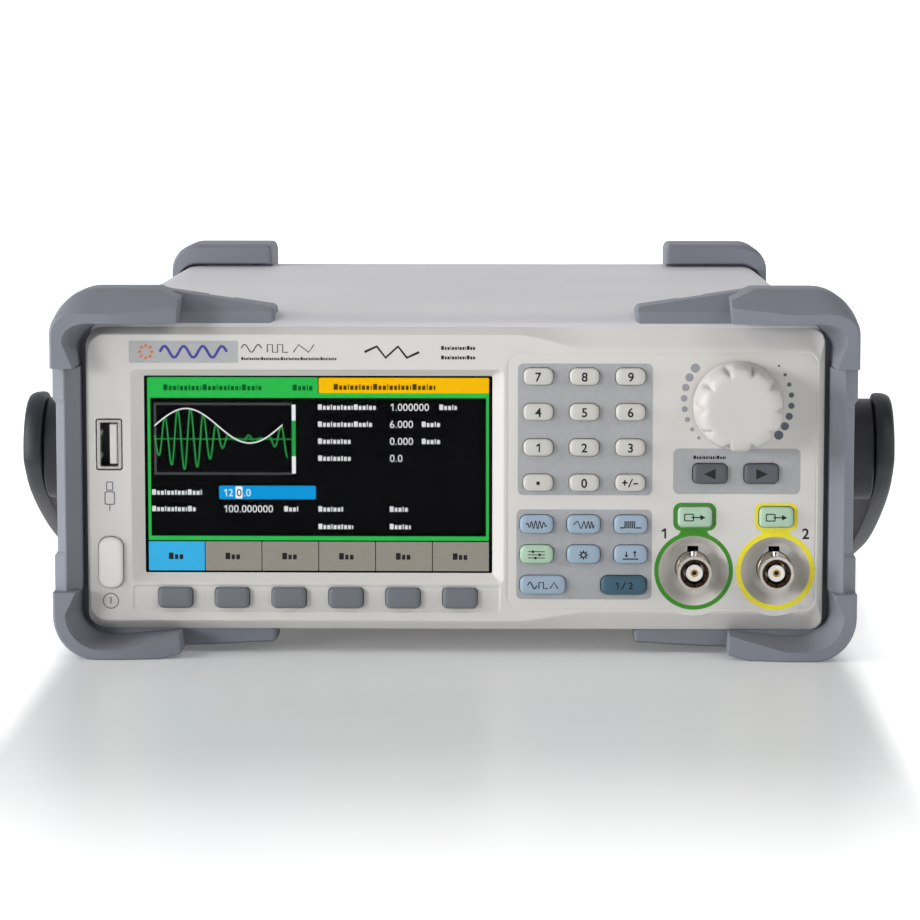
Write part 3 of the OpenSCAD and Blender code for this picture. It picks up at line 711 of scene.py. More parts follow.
def knob():
    """Ten lobes with narrow notches between them, on a plain skirt."""
    lobes, per_lobe = 10, 22
    count = lobes * per_lobe
    (left, right), (front, foot), _ = span("control_knob")
    foot_r = (right - left) / 2
    notch_width = 0.12
    # Each ring is a radius, a depth, and how deep the notches cut in there
    profile = ((2.5, front + 0.02, 0), (6.0, front + 0.02, 0), (8.2, front + 0.03, 0),
               (9.0, front + 0.08, 0.12), (10.0, front + 0.32, 0.6), (10.9, front + 0.85, 1.0),
               (11.6, front + 1.8, 1.3), (11.95, front + 3.4, 1.45), (12.15, front + 7, 1.4),
               (12.25, front + 9, 1.15), (12.32, front + 10.2, 0.7), (12.35, front + 10.8, 0.2),
               (12.36, front + 11.2, 0),
               (foot_r - 0.2, foot - 1.6, 0), (foot_r - 0.05, foot - 0.8, 0), (foot_r, foot - 0.2, 0),
               (foot_r - 0.2, foot, 0))
    solid = Solid()
    rings = []
    for r, depth, cut in profile:
        points = []
        for i in range(count):
            away = (i % per_lobe) / per_lobe
            notch = math.exp(-(min(away, 1 - away) / notch_width) ** 1.5)
            c, s = direction(360 * i / count)
            points.append((KNOB_X + (r - cut * notch) * c, KNOB_Z + (r - cut * notch) * s))
        rings.append(solid.ring(points, depth))
    shaft_r = 3.05
    rings += lathe(solid, KNOB_X, KNOB_Z, ((shaft_r, foot), (shaft_r, front + 3.4)), count)
    solid.loft(rings, start=True, end=True)
    solid.finish("knob_cap", "dial", KNOB, "knob_plastic", ["control_knob"], sharp=60)


# ---------- Front bumpers ----------

EDGE = span("front_bumper_right")[0][1]
TOP = span("front_bumper_right")[2][1]
BLOCK_END = 77.6
SLOPE_END = 94.0
LEG_ENDS = (19.2, 82.8)
OUTER_R, INNER_R = 12.4, 8.0
SIDE_DEEP, TOP_DEEP, BOTTOM_DEEP = 7.3, 9.6, 5.4

# Sections of the bumper as (inwards from its outer edge, depth), from the inner back corner round the front
TOP_BACK = ((7.8, 30), (7.8, 14.3), (9.6, 14.3))
TOP_RAIL = (*TOP_BACK, (9.6, 6), (9.6, 0), (6.8, 0), (3.6, 4.5), (0.5, 9), (0, 12), (0, 24), (1, 30))
TOP_RAIL_SET_BACK = (*TOP_BACK, (9.6, 8), (9.6, 2.5), (5.05, 2.5), (3.2, 5.1), (0.5, 9), (0, 12), (0, 24),
                     (1, 30))
TOP_RAIL_END = (*TOP_BACK, (9.6, 8), (9.6, 2.5), (5.05, 2.5), (3.9, 4.2), (3.2, 6.2), (3.0, 12), (2.6, 24),
                (2.4, 30))
BOTTOM_BACK = ((7, 30), (7, 14.3))
BOTTOM_RAIL = (*BOTTOM_BACK, (5.4, 14.3), (5.1, 12), (2.8, 0), (0.4, 0), (0, 0.4), (0, 5), (0, 12), (0, 24),
               (0.6, 30))
BOTTOM_RAIL_END = (*BOTTOM_BACK, (7, 14.1), (7, 12), (7, 2.5), (1.8, 2.5), (1.4, 2.9), (1.4, 5), (1.4, 12),
                   (1.4, 24), (1.8, 30))
LEG_BACK = ((9.6, 30), (9.6, 14.3))
LEG_EDGE = ((0.6, 0), (0, 0.8), (0, 5), (0, 12), (0, 24), (0.5, 30))
LEG = (*LEG_BACK, (7.3, 14.3), (6.6, 12), (3.5, 0), *LEG_EDGE)
LEG_END = (*LEG_BACK, (7.3, 14.3), (7.1, 12), (6.5, 0), *LEG_EDGE)
STRIP_BACK = (*LEG_BACK, (7.6, 14.3), (7.4, 9.0))
STRIP = (*STRIP_BACK, (3.8, 3.6), (3.4, 3.6), (0.3, 5.8), (0, 6.3), (0, 12), (0, 24), (0.5, 29))
STRIP_CUT = (*STRIP_BACK, (3.8, 4), (3.4, 4), (1.1, 6.5), (0.8, 7.1), (0.8, 12), (0.8, 24), (1.2, 29))


def shares(section, deep):
    """A section with its inward distances as shares of the bumper's width there."""
    return [(n / deep, d) for n, d in section]


def blended(a, b, u):
    """A section part of the way from one to another."""
    return [(mix(p[0], q[0], u), mix(p[1], q[1], u)) for p, q in zip(a, b)]


def bumper_stations():
    """The bumper's path as (outer point, inner point, section), from the top block to the bottom one."""
    top_in, bottom_in, side_in = TOP - TOP_DEEP, BOTTOM_DEEP, EDGE - SIDE_DEEP
    top, bottom = shares(TOP_RAIL, TOP_DEEP), shares(BOTTOM_RAIL, BOTTOM_DEEP)
    leg, leg_end = shares(LEG, SIDE_DEEP), shares(LEG_END, SIDE_DEEP)
    strip, cut = shares(STRIP, SIDE_DEEP), shares(STRIP_CUT, SIDE_DEEP)
    drop_start = 84.0
    set_back = blended(top, shares(TOP_RAIL_SET_BACK, TOP_DEEP),
                       (SLOPE_END - drop_start) / (SLOPE_END - BLOCK_END))
    stations = [((BLOCK_END, TOP), (BLOCK_END + 0.6, top_in), shares(TOP_RAIL_END, TOP_DEEP)),
                ((drop_start, TOP), (drop_start, top_in), set_back),
                ((SLOPE_END, TOP), (SLOPE_END, top_in), top)]

    def corner(outer_up, inner_up, way, first, last):
        """A quarter turn: way is -1 from the top rail to the leg, and 1 from the leg to the foot."""
        corner_steps = 14
        for i in range(corner_steps + 1):
            c, s = direction(90 * (i / corner_steps if way > 0 else 1 - i / corner_steps))
            stations.append(((EDGE - OUTER_R * (1 - c), outer_up + way * OUTER_R * (1 - s)),
                             (side_in - INNER_R * (1 - c), inner_up + way * INNER_R * (1 - s)),
                             blended(first, last, ease(i / corner_steps))))

    corner(TOP, top_in, -1, top, leg)
    for z, section in ((LEG_ENDS[1], leg_end), (LEG_ENDS[1], strip), (73.8, strip), (72.5, cut), (30.3, cut),
                       (29.0, strip), (LEG_ENDS[0], strip), (LEG_ENDS[0], leg_end)):
        stations.append(((EDGE, z), (side_in, z), section))
    corner(0, bottom_in, 1, leg, bottom)
    end = shares(BOTTOM_RAIL_END, BOTTOM_DEEP)
    foot_end = [(mix(p[0], q[0], 0.65) if i < 5 else p[0], mix(p[1], q[1], 0.65))
                for i, (p, q) in enumerate(zip(bottom, end))]
    stations.append(((SLOPE_END, 0), (SLOPE_END, bottom_in), bottom))
    stations.append(((83.6, 0), (83.6, bottom_in), foot_end))
    stations.append(((BLOCK_END, 0), (BLOCK_END + 0.4, bottom_in), end))
    return stations


def wing(solid, side, top):
    """The low wing beside a block; its tip is rounded off and its top falls away towards the middle."""
    tip, root = 51.3, 84.5
    front, back = 14.6, 29.8
    rings = []
    for across in (tip, tip + 0.2, tip + 0.6, tip + 1.2, 63.9, 64.1, 70.9, 71.1, root):
        ends = max(0.0, 1 - (across - tip) / 1.2) ** 2 * 0.9
        recess = 2.0 if top and 64 < across < 71 else 0.0
        if top:
            height = mix(99.2, 104.1, (across - tip) / (root - tip)) - ends
            section = ((front + ends, 94.4 + ends), (front + ends, 98 - ends),
                       (front + (height - 98) * 0.98 + ends, height), (27, height), (27.2, height - recess),
                       (back - ends, height - recess), (back - ends, 96.9), (24, 96.5), (18, 95.6))
        else:
            height = mix(2.4, 1.0, min(1.0, (across - tip) / (BLOCK_END - tip))) + ends
            section = ((front + ends, 6.9 - ends), (front + ends, height + 1.2), (17.5, height + 0.3),
                       (22, height), (27, height), (28, height), (back - ends, height + 0.2),
                       (back - ends, 7.2), (18, 7.4))
        rings.append(solid.row([(side * across, depth, up) for depth, up in section]))
    solid.loft(rings, start=True, end=True)


def front_bumper(side, word):
    """Two corner blocks on a leg, with a wing beside each."""
    solid = Solid()
    rings = []
    for outer, inner, section in bumper_stations():
        rings.append(solid.row([(side * mix(outer[0], inner[0], u), depth, mix(outer[1], inner[1], u))
                                for u, depth in section]))
    solid.loft(rings, start=True, end=True)
    wing(solid, side, True)
    wing(solid, side, False)
    bmesh.ops.remove_doubles(solid.mesh, verts=solid.mesh.verts, dist=0.002 * MM)
    shape = solid.finish("bumper_front_" + word, BODY, RUBBER, "bumper_rubber", ["front_bumper_" + word],
                         sharp=40, weighted=False)
    round_edges(shape, 0.45, 3, 28)
    weigh(shape)


REAR_EDGE = span("rear_bumper_right")[0][1]
REAR_INNER = span("rear_bumper_right")[0][0]
REAR_DEPTHS = span("rear_bumper_right")[1]
CASE_X = span("case_cover")[0][1]
CASE_Z = (span("chassis_tray")[2][0], span("case_cover")[2][1])

# Section of a rear bumper as (share of the way in to the case, further in, depth behind its front face)
REAR_DEEP = 33
REAR_RAIL = ((0.9, 0, 1.6), (0.86, 0, 0.3), (0.8, 0, 0), (0.26, 0, 0), (0.18, 0, 0.2), (0.05, 0, 2.0),
             (0, 0, 3.4), (0, 0, 29), (0.12, 0, 31.6), (0.35, 0, REAR_DEEP), (1, 4, REAR_DEEP), (1, 5, 32),
             (1, 5, 18.1), (1, 0, 18.1), (1, 0, 5), (0.9, 0, 5))


def rear_bumper(side, word):
    """A rail round one end of the case's back, with a lip over the rear panel's edge and a foot below."""
    outer_r, case_r, low = 9.3, 7.0, 0.8
    steps = 14
    middle_x, middle_case = REAR_EDGE - outer_r, CASE_X - case_r
    rounding = ((0.0, 1.9), (0.3, 0.9), (0.9, 0.25), (1.9, 0.0))
    # Stations: an outer and an inner point, the angle outwards, and how far the end's rounding drops
    path = []
    for along, drop in rounding:
        x = REAR_INNER + 1.7 + along
        path.append((x, TOP - drop, x, CASE_Z[1], 90, drop))
    for outer_up, case_up, start in ((TOP - outer_r, CASE_Z[1] - case_r, 90),
                                     (low + outer_r, CASE_Z[0] + case_r, 0)):
        for i in range(steps + 1):
            angle = start - 90 * i / steps
            c, s = direction(angle)
            path.append((middle_x + outer_r * c, outer_up + outer_r * s, middle_case + case_r * c,
                         case_up + case_r * s, angle, 0.0))
    for along, drop in reversed(rounding):
        path.append((REAR_INNER + along, low + drop, REAR_INNER + along, CASE_Z[0], -90, drop))
    solid = Solid()
    rings = []
    for ox, oz, ix, iz, angle, drop in path:
        c, s = direction(angle)
        places = []
        for share, further, behind in REAR_RAIL:
            depth = REAR_DEPTHS[0] + max(0.35 * drop, min(behind, REAR_DEEP - 0.35 * drop))
            places.append((side * (mix(ox, ix, share) - further * c), depth,
                           mix(oz, iz, share) - further * s))
        rings.append(solid.row(places))
    solid.loft(rings, start=True, end=True)
    foot = [(78.4, 0.0), (97.6, 0.0), (98, 0.3), (99, 1.4), (77, 1.4), (78, 0.3)]
    solid.loft([solid.ring([(side * x, z) for x, z in foot], depth)
                for depth in (REAR_DEPTHS[0] + 4, REAR_DEPTHS[1] - 3)], start=True, end=True)
    solid.finish("bumper_rear_" + word, BODY, RUBBER, "bumper_rubber", ["rear_bumper_" + word], sharp=32)


# ---------- Handle ----------

PIVOT = (middle(span("handle_hubs")[1]), middle(span("handle_hubs")[2]))
ARM_X = span("carry_handle")[0][1]
ARM_T = 5.5


def smoothed(points, rounds=2):
    """Cuts the corners of a closed line until it reads as a curve."""
    for _ in range(rounds):
        points = [(mix(a[0], b[0], u), mix(a[1], b[1], u))
                  for a, b in zip(points, points[1:] + points[:1]) for u in (0.25, 0.75)]
    return points


def taken_in(points, distance):
    """A closed line that runs anticlockwise, taken in by a distance."""
    moved = []
    for before, here, after in zip(points[-1:] + points[:-1], points, points[1:] + points[:1]):
        dx, dz = after[0] - before[0], after[1] - before[1]
        length = math.hypot(dx, dz)
        moved.append((here[0] - dz / length * distance, here[1] + dx / length * distance))
    return moved


def arm_outline():
    """An arm's side view as (depth, up): its lower edge, the bar's end, its upper edge and the round end."""
    round_r = PIVOT[1] - span("handle_hubs")[2][0] + 1.8
    lower = [(60.9, 45.3), (66.7, 40.4), (76.2, 35.3), (89.6, 29.5), (108.4, 22.3), (133.4, 14.4), (165, 7.0)]
    bar_end = [(184, 2.4), (190.5, 0.9), (196.5, 0.6), (198.5, 2.0), (198.5, 6.0), (194.5, 7.8)]
    upper = [(176, 14.5), (150, 27.5), (118, 44), (98, 56), (86, 64.2)]
    points = lower + bar_end + upper
    for angle in range(56, 192, 9):
        c, s = direction(angle)
        points.append((PIVOT[0] + round_r * c, PIVOT[1] + round_r * s))
    return smoothed(points)


def handle():
    """Two arms with well rounded outer edges, blind holes for the hubs' pins, and the bar between them."""
    outline = arm_outline()
    inner = ARM_X - ARM_T
    pin_r, pin_end = 6.1, ARM_X - 3
    edge = ((0.9, inner), (0.27, inner + 0.27), (0, inner + 0.9), (0, ARM_X - 3.4), (0.12, ARM_X - 2.2),
            (0.5, ARM_X - 1.1), (1.1, ARM_X - 0.35), (1.9, ARM_X))
    solid = Solid()

    def slice_at(across, line):
        return solid.row([(across, depth, up) for depth, up in line])

    for side in (-1, 1):
        rings = [slice_at(side * x, taken_in(outline, inset)) for inset, x in edge]
        solid.loft(rings, end=True)
        hole = [slice_at(side * x, circle(*PIVOT, pin_r)) for x in (inner, pin_end)]
        solid.loft(hole, end=True)
        solid.fill(rings[0], hole[0])
    bar = rounded(182.6, 198.4, 0.6, 6.4, 2.2)
    solid.loft([slice_at(x, bar) for x in (-inner - 1, inner + 1)], start=True, end=True)
    solid.finish("carry_handle_shell", "handle", HANDLE, "handle_plastic", ["carry_handle"], sharp=40)


# ---------- Artwork ----------

PRINT = 0.03  # how far printing stands out of the panel
GREY_INK = ink("ink_grey", srgb(168, 169, 172))
PLATE_INK = ink("ink_plate", srgb(176, 177, 179))
BLACK_INK = ink("ink_black", srgb(14, 14, 16), 0.7)
DOT_LIGHT = ink("ink_dot_light", srgb(148, 151, 157))
DOT_DARK = ink("ink_dot_dark", srgb(92, 97, 108))
GREEN_INK = ink("ink_green", srgb(52, 138, 16))
YELLOW_INK = ink("ink_yellow", srgb(236, 222, 40))
BLUE_INK = ink("ink_blue", srgb(56, 62, 150))
ORANGE_INK = ink("ink_orange", srgb(226, 112, 44))
# Dark brown for the sleeves and the pit inside each output's barrel: painted shade deep in the barrel, not
# the plating's colour
BARREL_SHADE = metal("sleeve_painted_shade", srgb(74, 54, 40), 0.4)

NUMBER_KEYS = [n for n in KEY_NODES if n.startswith("key_")]
FUNCTION_KEYS = [n for n in KEY_NODES if n.startswith("function_key_")]
ARROW_KEYS = [n for n in KEY_NODES if n.startswith("arrow_key_")]
OUTPUT_KEYS = [n for n in KEY_NODES if n.startswith("output_key_")]


class PanelInk(Ink):
    """Ink on the panel's face; the second layer lies just over the first."""

    def __init__(self, layer=1):
        if layer == 1:
            super().__init__(FACE + 0.02, PRINT + 0.02)
        else:
            super().__init__(FACE - 0.02, PRINT)

    def done(self, name, colour):
        self.finish("print_" + name, BODY, colour, "panel_plastic")


def output_bosses():
    """The raised disc under each output shows as a crescent over the panel's lower slope."""
    boss_r, top, front = 13.2, 13.4, FACE - 0.02
    reach, steps = math.acos((OUTPUT_Z - top) / boss_r), 24
    solid = Solid()
    for x in OUTPUT_X:
        rings = []
        for shrink, depth in ((0.7, front), (0.25, front + 0.05), (0.0, front + 0.35), (0.0, front + 3)):
            turns = [mix(-reach, reach, i / steps) for i in range(steps + 1)]
            r = boss_r - shrink
            rings.append(solid.ring([(x + r * math.sin(a), OUTPUT_Z - r * math.cos(a)) for a in turns],
                                    depth))
        solid.mesh.faces.new(rings[0])
        solid.loft(rings)
    solid.finish("output_bosses", BODY, PANEL, "panel_plastic")


def arc_wall(solid, x, z, radii, depths, start, end):
    """A piece of a tube's wall between two angles in degrees."""
    steps = 6
    angles = [math.radians(mix(start, end, i / steps)) for i in range(steps + 1)]
    outline = [(x + radii[1] * math.cos(a), z + radii[1] * math.sin(a)) for a in angles]
    outline += [(x + radii[0] * math.cos(a), z + radii[0] * math.sin(a)) for a in reversed(angles)]
    solid.loft([solid.ring(outline, depth) for depth in depths], start=True, end=True)


def output_contacts():
    """The slotted sleeve inside each barrel, and the rim of the centre contact; the sleeves and the pit in
    the contact are dark brown, painted shade deep in the barrel.
    """
    mouth = span("output_bnc_shells")[1][0]
    slots = 8
    sleeve, centre = Solid(), Solid()
    for x in OUTPUT_X:
        for i in range(slots):
            start = 360 / slots * i
            arc_wall(sleeve, x, OUTPUT_Z, (3.1, 4.0), (mouth + 0.8, mouth + 8.9), start + 3,
                     start + 360 / slots - 3)
        rim = [(1.15, mouth + 0.99), (1.1, mouth + 0.9), (0.85, mouth + 0.9), (0.72, mouth + 1.1),
               (0.66, mouth + 4)]
        centre.loft(lathe(centre, x, OUTPUT_Z, rim, 24))
        pit = [(0.66, mouth + 1.6), (0.6, mouth + 1.7)]
        sleeve.loft(lathe(sleeve, x, OUTPUT_Z, pit, 24), end=True)
    sleeve.finish("output_sleeves", BODY, BARREL_SHADE, "nickel_plate")
    centre.finish("output_centre_contacts", BODY, GOLD, "nickel_plate")


def output_collars():
    """The nut at the foot of each barrel, inside the dish."""
    foot = FACE + 5.3
    profile = ((4.45, foot - 0.9), (4.62, foot - 1.0), (4.86, foot - 0.75), (4.92, foot - 0.5),
               (4.92, foot + 1.5))
    solid = Solid()
    for x in OUTPUT_X:
        solid.loft(lathe(solid, x, OUTPUT_Z, profile))
    solid.finish("output_collars", BODY, NICKEL, "nickel_plate")


def usb_inside():
    """The port's white tongue, the springs on its left wall, and its dark back."""
    tongue = Solid()
    x0, x1 = USB_X + 0.05, USB_X + 2.25
    rings = [tongue.ring(rounded(x0 + g, x1 - g, USB_Z - 5.7 + g, USB_Z + 5.7 - g, 0.3, 3), FACE + depth)
             for g, depth in ((0.3, 1.0), (0.0, 1.3), (0.0, 9))]
    tongue.loft(rings, start=True, end=True)
    tongue.finish("usb_tongue", BODY, WHITE, "insulator_white")
    back = Solid()
    rings = [back.ring(rounded(USB_X - 2.5, USB_X + 2.5, USB_Z - 6.2, USB_Z + 6.2, 0.2, 2), FACE + depth)
             for depth in (7.5, 8.8)]
    back.loft(rings, start=True, end=True)
    back.finish("usb_back", BODY, BLACK, "black_plastic")
    springs = Solid()
    wall = USB_X - 2.55
    for z in (USB_Z - 3.2, USB_Z + 3.2):
        places = ((wall - 0.05, 0.7), (wall + 0.12, 0.9), (wall + 0.6, 2.2), (wall + 0.62, 3.0),
                  (wall - 0.05, 5.0))
        sides = [springs.row([(x, FACE + depth, z + side) for x, depth in places]) for side in (-0.7, 0.7)]
        springs.loft(sides, start=True, end=True)
    springs.finish("usb_springs", BODY, STEEL, "plated_steel")


def printed_area(name, sides, keys):
    """A grey area on the panel's face, open around its keys."""
    solid = Solid()
    outlines = [rounded(*sides, 1.6)]
    for node in keys:
        x, z, w, h = key_size(node)
        outlines.append(round_box(x, z, w, h, key_radius(node), KEY_GAP + 0.14))
    front = [solid.ring(outline, FACE - PRINT) for outline in outlines]
    back = [solid.ring(outline, FACE + 0.02) for outline in outlines]
    solid.fill(*front)
    for a, b in zip(front, back):
        solid.bridge(a, b)
    solid.finish(name, BODY, GREY_INK, "panel_plastic", weighted=False)


def printed_areas():
    printed_area("print_area_numbers", (17.9, 56.1, 46.2, 83.7), NUMBER_KEYS)
    printed_area("print_area_functions", (17.6, 56.1, 16.3, 42.1), FUNCTION_KEYS)
    printed_area("print_area_arrows", (62.0, 98.0, 46.6, 59.6), ARROW_KEYS)


def printed_rings():
    """Each output's coloured ring, the neck up to the frame round its key, and its number."""
    ring_r = 11.2
    for x, key, colour, stroke, name in ((OUTPUT_X[0], OUTPUT_KEYS[0], GREEN_INK, 1.2, "1"),
                                         (OUTPUT_X[1], OUTPUT_KEYS[1], YELLOW_INK, 1.4, "2")):
        kx, kz, kw, kh = key_size(key)
        art = PanelInk()
        art.hoop(x, OUTPUT_Z, ring_r, stroke)
        inner = round_box(kx, kz, kw, kh, key_radius(key), KEY_GAP + 0.1)
        outer = round_box(kx, kz, kw + 2.5, kh + 2.2, 2.2)
        art.band(inner, outer)
        art.done("ring_" + name, colour)
        neck = Ink(FACE + 0.02, PRINT + 0.01)
        waist, flare, top = 3.8, 4.5, kz - kh / 2 - 0.7
        low = OUTPUT_Z + ring_r - 0.75
        side = [(flare, low), (waist + 0.15, mix(low, top, 0.3)), (waist, mix(low, top, 0.55)),
                (waist + 0.1, mix(low, top, 0.8)), (flare - 0.2, top)]
        neck.patch([(x + across, up) for across, up in side] +
                   [(x - across, up) for across, up in reversed(side)])
        neck.finish("print_neck_" + name, BODY, colour, "panel_plastic")
    numerals = PanelInk()
    for text, x in (("1", OUTPUT_X[0] - 8.5), ("2", OUTPUT_X[1] + 8.5)):
        numerals.digits(text, x, OUTPUT_Z + 10.7, 2.9, bold=0.02)
    numerals.done("output_numbers", BLACK_INK)


def printed_dots():
    """Two rows of dots round the knob: the left one dwindles downwards and the right one grows."""
    dot_count, arc_r, arc_z = 8, 15.2, KNOB_Z + 1.4
    for name, start, end, sizes, colour in (("left", 142.6, 224.0, (1.3, 0.5), DOT_LIGHT),
                                            ("right", 40.8, -39.9, (0.35, 1.3), DOT_DARK)):
        art = PanelInk()
        for i in range(dot_count):
            share = i / (dot_count - 1)
            c, s = direction(mix(start, end, share))
            art.disc(KNOB_X + arc_r * c, arc_z + arc_r * s, mix(*sizes, share))
        art.done("dots_" + name, colour)


def wave(x0, x1, z, height, cycles, per_cycle=16):
    """A sine wave as a line."""
    count = int(per_cycle * cycles)
    return [(mix(x0, x1, i / count), z + height * math.sin(2 * math.pi * cycles * i / count))
            for i in range(count + 1)]


def square_wave(x0, x1, z, height, cycles):
    """A square wave as a line with upright sides."""
    points = [(x0, z - height)]
    for i in range(2 * cycles):
        level = height if i % 2 == 0 else -height
        a, b = mix(x0, x1, i / (2 * cycles)), mix(x0, x1, (i + 1) / (2 * cycles))
        points += [(a, z + level), (b, z + level)]
    return points


def greek(art, x, z, width, height):
    """Blocks in place of a word's letters: a tall one first, then mostly low ones."""
    letters = ((0.72, 1.0), (0.5, 0.74), (0.56, 0.74), (0.2, 1.0), (0.56, 0.74), (0.5, 0.74), (0.3, 0.92),
               (0.54, 0.74), (0.5, 0.74), (0.22, 0.74))
    gap = 0.2 * height
    cursor, i = x, 0
    while cursor < x + width - 0.3 * height:
        across, up = letters[i % len(letters)]
        right = min(cursor + across * height, x + width)
        art.bar(cursor, right, z - height / 2, z - height / 2 + up * height, 0.09 * height)
        cursor = right + gap
        i += 1


def printed_strip():
    """The grey plate and the small marks above the display, with wave shapes in place of names."""
    z0, z1 = 83.7, 90.0
    z = middle((z0, z1))
    plate = PanelInk()
    plate.bar(-92.3, -61.3, z0, z1, 0.3)
    plate.done("plate", PLATE_INK)
    mark = PanelInk(2)
    mark.stroke(wave(-83.5, -64.5, z, 1.6, 3.5), 0.75)
    mark.done("plate_wave", BLUE_INK)
    dots = PanelInk(2)
    for i in range(8):
        c, s = direction(45 * i)
        dots.disc(-87.5 + 1.75 * c, z + 1.75 * s, 0.42)
    dots.done("plate_dots", ORANGE_INK)
    marks = PanelInk()
    low, high = z - 0.1, z + 2.1
    for line in (wave(-60.4, -54.6, z + 1.0, 1.1, 1.5), square_wave(-53.0, -47.2, z + 1.0, 1.1, 2),
                 [(-45.6, low), (-44.15, high), (-41.25, low), (-39.8, high)]):
        marks.stroke(line, 0.3)
    greek(marks, -60.4, z - 1.9, 27, 0.85)
    marks.stroke([(-25.5, z), (-22.0, z + 1.6), (-19.5, z - 1.6), (-16.0, z + 1.6), (-13.5, z - 1.6),
                  (-10.0, z)], 0.7)
    for up in (1.2, -1.5):
        greek(marks, -3.8, z + up, 9.6, 1.1)
    marks.done("marks_top", BLACK_INK)


def printed_marks():
    """The power mark, a plain plug picture under the USB port, and the label over an arrow key."""
    faint = PanelInk()
    faint.hoop(USB_X, 15.5, 2.3, 0.28)
    faint.bar(USB_X - 0.16, USB_X + 0.16, 14.7, 16.6)
    body_z = 45.0
    faint.frame(USB_X - 1.5, USB_X + 1.5, body_z - 1.9, body_z + 2.0, 0.6, 0.3)
    faint.frame(USB_X - 1.0, USB_X + 1.0, body_z + 2.2, body_z + 4.8, 0.3, 0.28)
    faint.bar(USB_X - 0.15, USB_X + 0.15, body_z - 3.6, body_z - 2.0)
    faint.done("marks_left", DOT_DARK)
    label = PanelInk(2)
    greek(label, 67.7, 57.1, 9.5, 1.0)
    label.done("label_arrow", BLACK_INK)


def key_legends():
    """Figures on the number keys, arrows, an output mark, and an icon on each function key."""
    depth, thickness = 0.14, 0.11  # sunk into the key's face, so that its slight crown doesn't show a gap
    for nodes, draw in ((NUMBER_KEYS, number_legend), (ARROW_KEYS, arrow), (OUTPUT_KEYS, output_mark),
                        (FUNCTION_KEYS, function_icon)):
        for i, node in enumerate(nodes):
            x, z, _, _ = key_size(node)
            art = Ink(span(node)[1][0] + depth, thickness)
            draw(art, i, x, z)
            art.finish(node + "_legend", node, BLACK_INK, key_look(node)[1])


def number_legend(art, index, x, z):
    name = NUMBER_KEYS[index].removeprefix("key_")
    if name == "point":
        art.bar(x - 0.5, x + 0.5, z - 0.5, z + 0.5, 0.25)
    elif name == "sign":
        art.bar(x - 2.3, x - 0.8, z - 0.02, z + 0.42)
        art.bar(x - 1.76, x - 1.34, z - 0.6, z + 1.0)
        art.stroke([(x - 0.5, z - 1.1), (x + 0.6, z + 1.3)], 0.36)
        art.bar(x + 0.9, x + 2.2, z - 0.3, z + 0.12)
    else:
        art.digits(name, x, z, 2.45, bold=0.018)


def arrow(art, index, x, z):
    """To the left on the first key, and to the right on the second."""
    way = 2 * index - 1
    art.patch([(x - 1.5 * way, z - 1.5), (x + 1.8 * way, z), (x - 1.5 * way, z + 1.5)])


def output_mark(art, _, x, z):
    """An arrow that leaves a box."""
    art.frame(x - 3.1, x - 0.3, z - 1.1, z + 1.1, 0.4, 0.3)
    art.bar(x - 1.0, x + 1.6, z - 0.17, z + 0.17)
    art.patch([(x + 1.5, z - 0.8), (x + 3.0, z), (x + 1.5, z + 0.8)])


def function_icon(art, index, x, z):
    """What each function key does, as a small picture."""
    thin, thick, half = 0.26, 0.34, 2.9
    if index == 0:
        swell = []
        for px, pz in wave(x - half, x + half, z, 1.15, 5):
            share = (px - x + half) / (2 * half)
            swell.append((px, z + (pz - z) * (0.35 + 0.65 * math.sin(math.pi * share))))
        art.stroke(swell, thin)
    elif index == 1:
        shares_across = [i / 80 for i in range(81)]
        art.stroke([(x + mix(-half, half, u), z + math.sin(2 * math.pi * (0.8 * u + 3.2 * u ** 2)))
                    for u in shares_across], thin)
    elif index == 2:
        art.stroke([(x - 3.0, z - 0.8), (x - 1.6, z - 0.8)], thick)
        art.stroke(square_wave(x - 1.6, x + 1.6, z + 0.1, 0.95, 3), thick)
        art.stroke([(x + 1.6, z - 0.8), (x + 3.0, z - 0.8)], thick)
    elif index == 3:
        for row, knob_at in ((0.9, -1.0), (0.0, 0.9), (-0.9, -0.3)):
            art.bar(x - 2.4, x + 2.4, z + row - 0.12, z + row + 0.12)
            art.bar(x + knob_at - 0.3, x + knob_at + 0.3, z + row - 0.36, z + row + 0.36, 0.1)
    elif index == 4:
        art.hoop(x, z, 0.85, 0.36)
        for tooth in range(8):
            c, s = direction(45 * tooth)
            art.stroke([(x + 0.8 * c, z + 0.8 * s), (x + 1.35 * c, z + 1.35 * s)], 0.36)
    elif index == 5:
        art.bar(x - 2.2, x + 2.2, z - 1.3, z - 0.95)
        for middle_x, tip, way in ((x - 1.2, z - 0.7, -1), (x + 1.2, z + 1.3, 1)):
            art.bar(middle_x - 0.15, middle_x + 0.15, z - 0.5, z + 1.0)
            foot = tip - 0.7 * way
            art.patch([(middle_x - 0.55, foot), (middle_x, tip), (middle_x + 0.55, foot)])
    elif index == 6:
        art.stroke(wave(x - 4.3, x - 1.7, z, 0.95, 1), thick)
        art.stroke(square_wave(x - 1.1, x + 1.5, z, 0.9, 1), thick)
        art.stroke([(x + 2.1, z - 0.9), (x + 3.2, z + 0.9), (x + 4.3, z - 0.9)], thick)
    else:
        art.digits("1", x - 1.9, z, 1.9, bold=0.02)
        art.stroke([(x - 0.6, z - 1.1), (x + 0.6, z + 1.1)], thick)
        art.digits("2", x + 2.0, z, 1.9, bold=0.02)


# ---------- What the display shows ----------

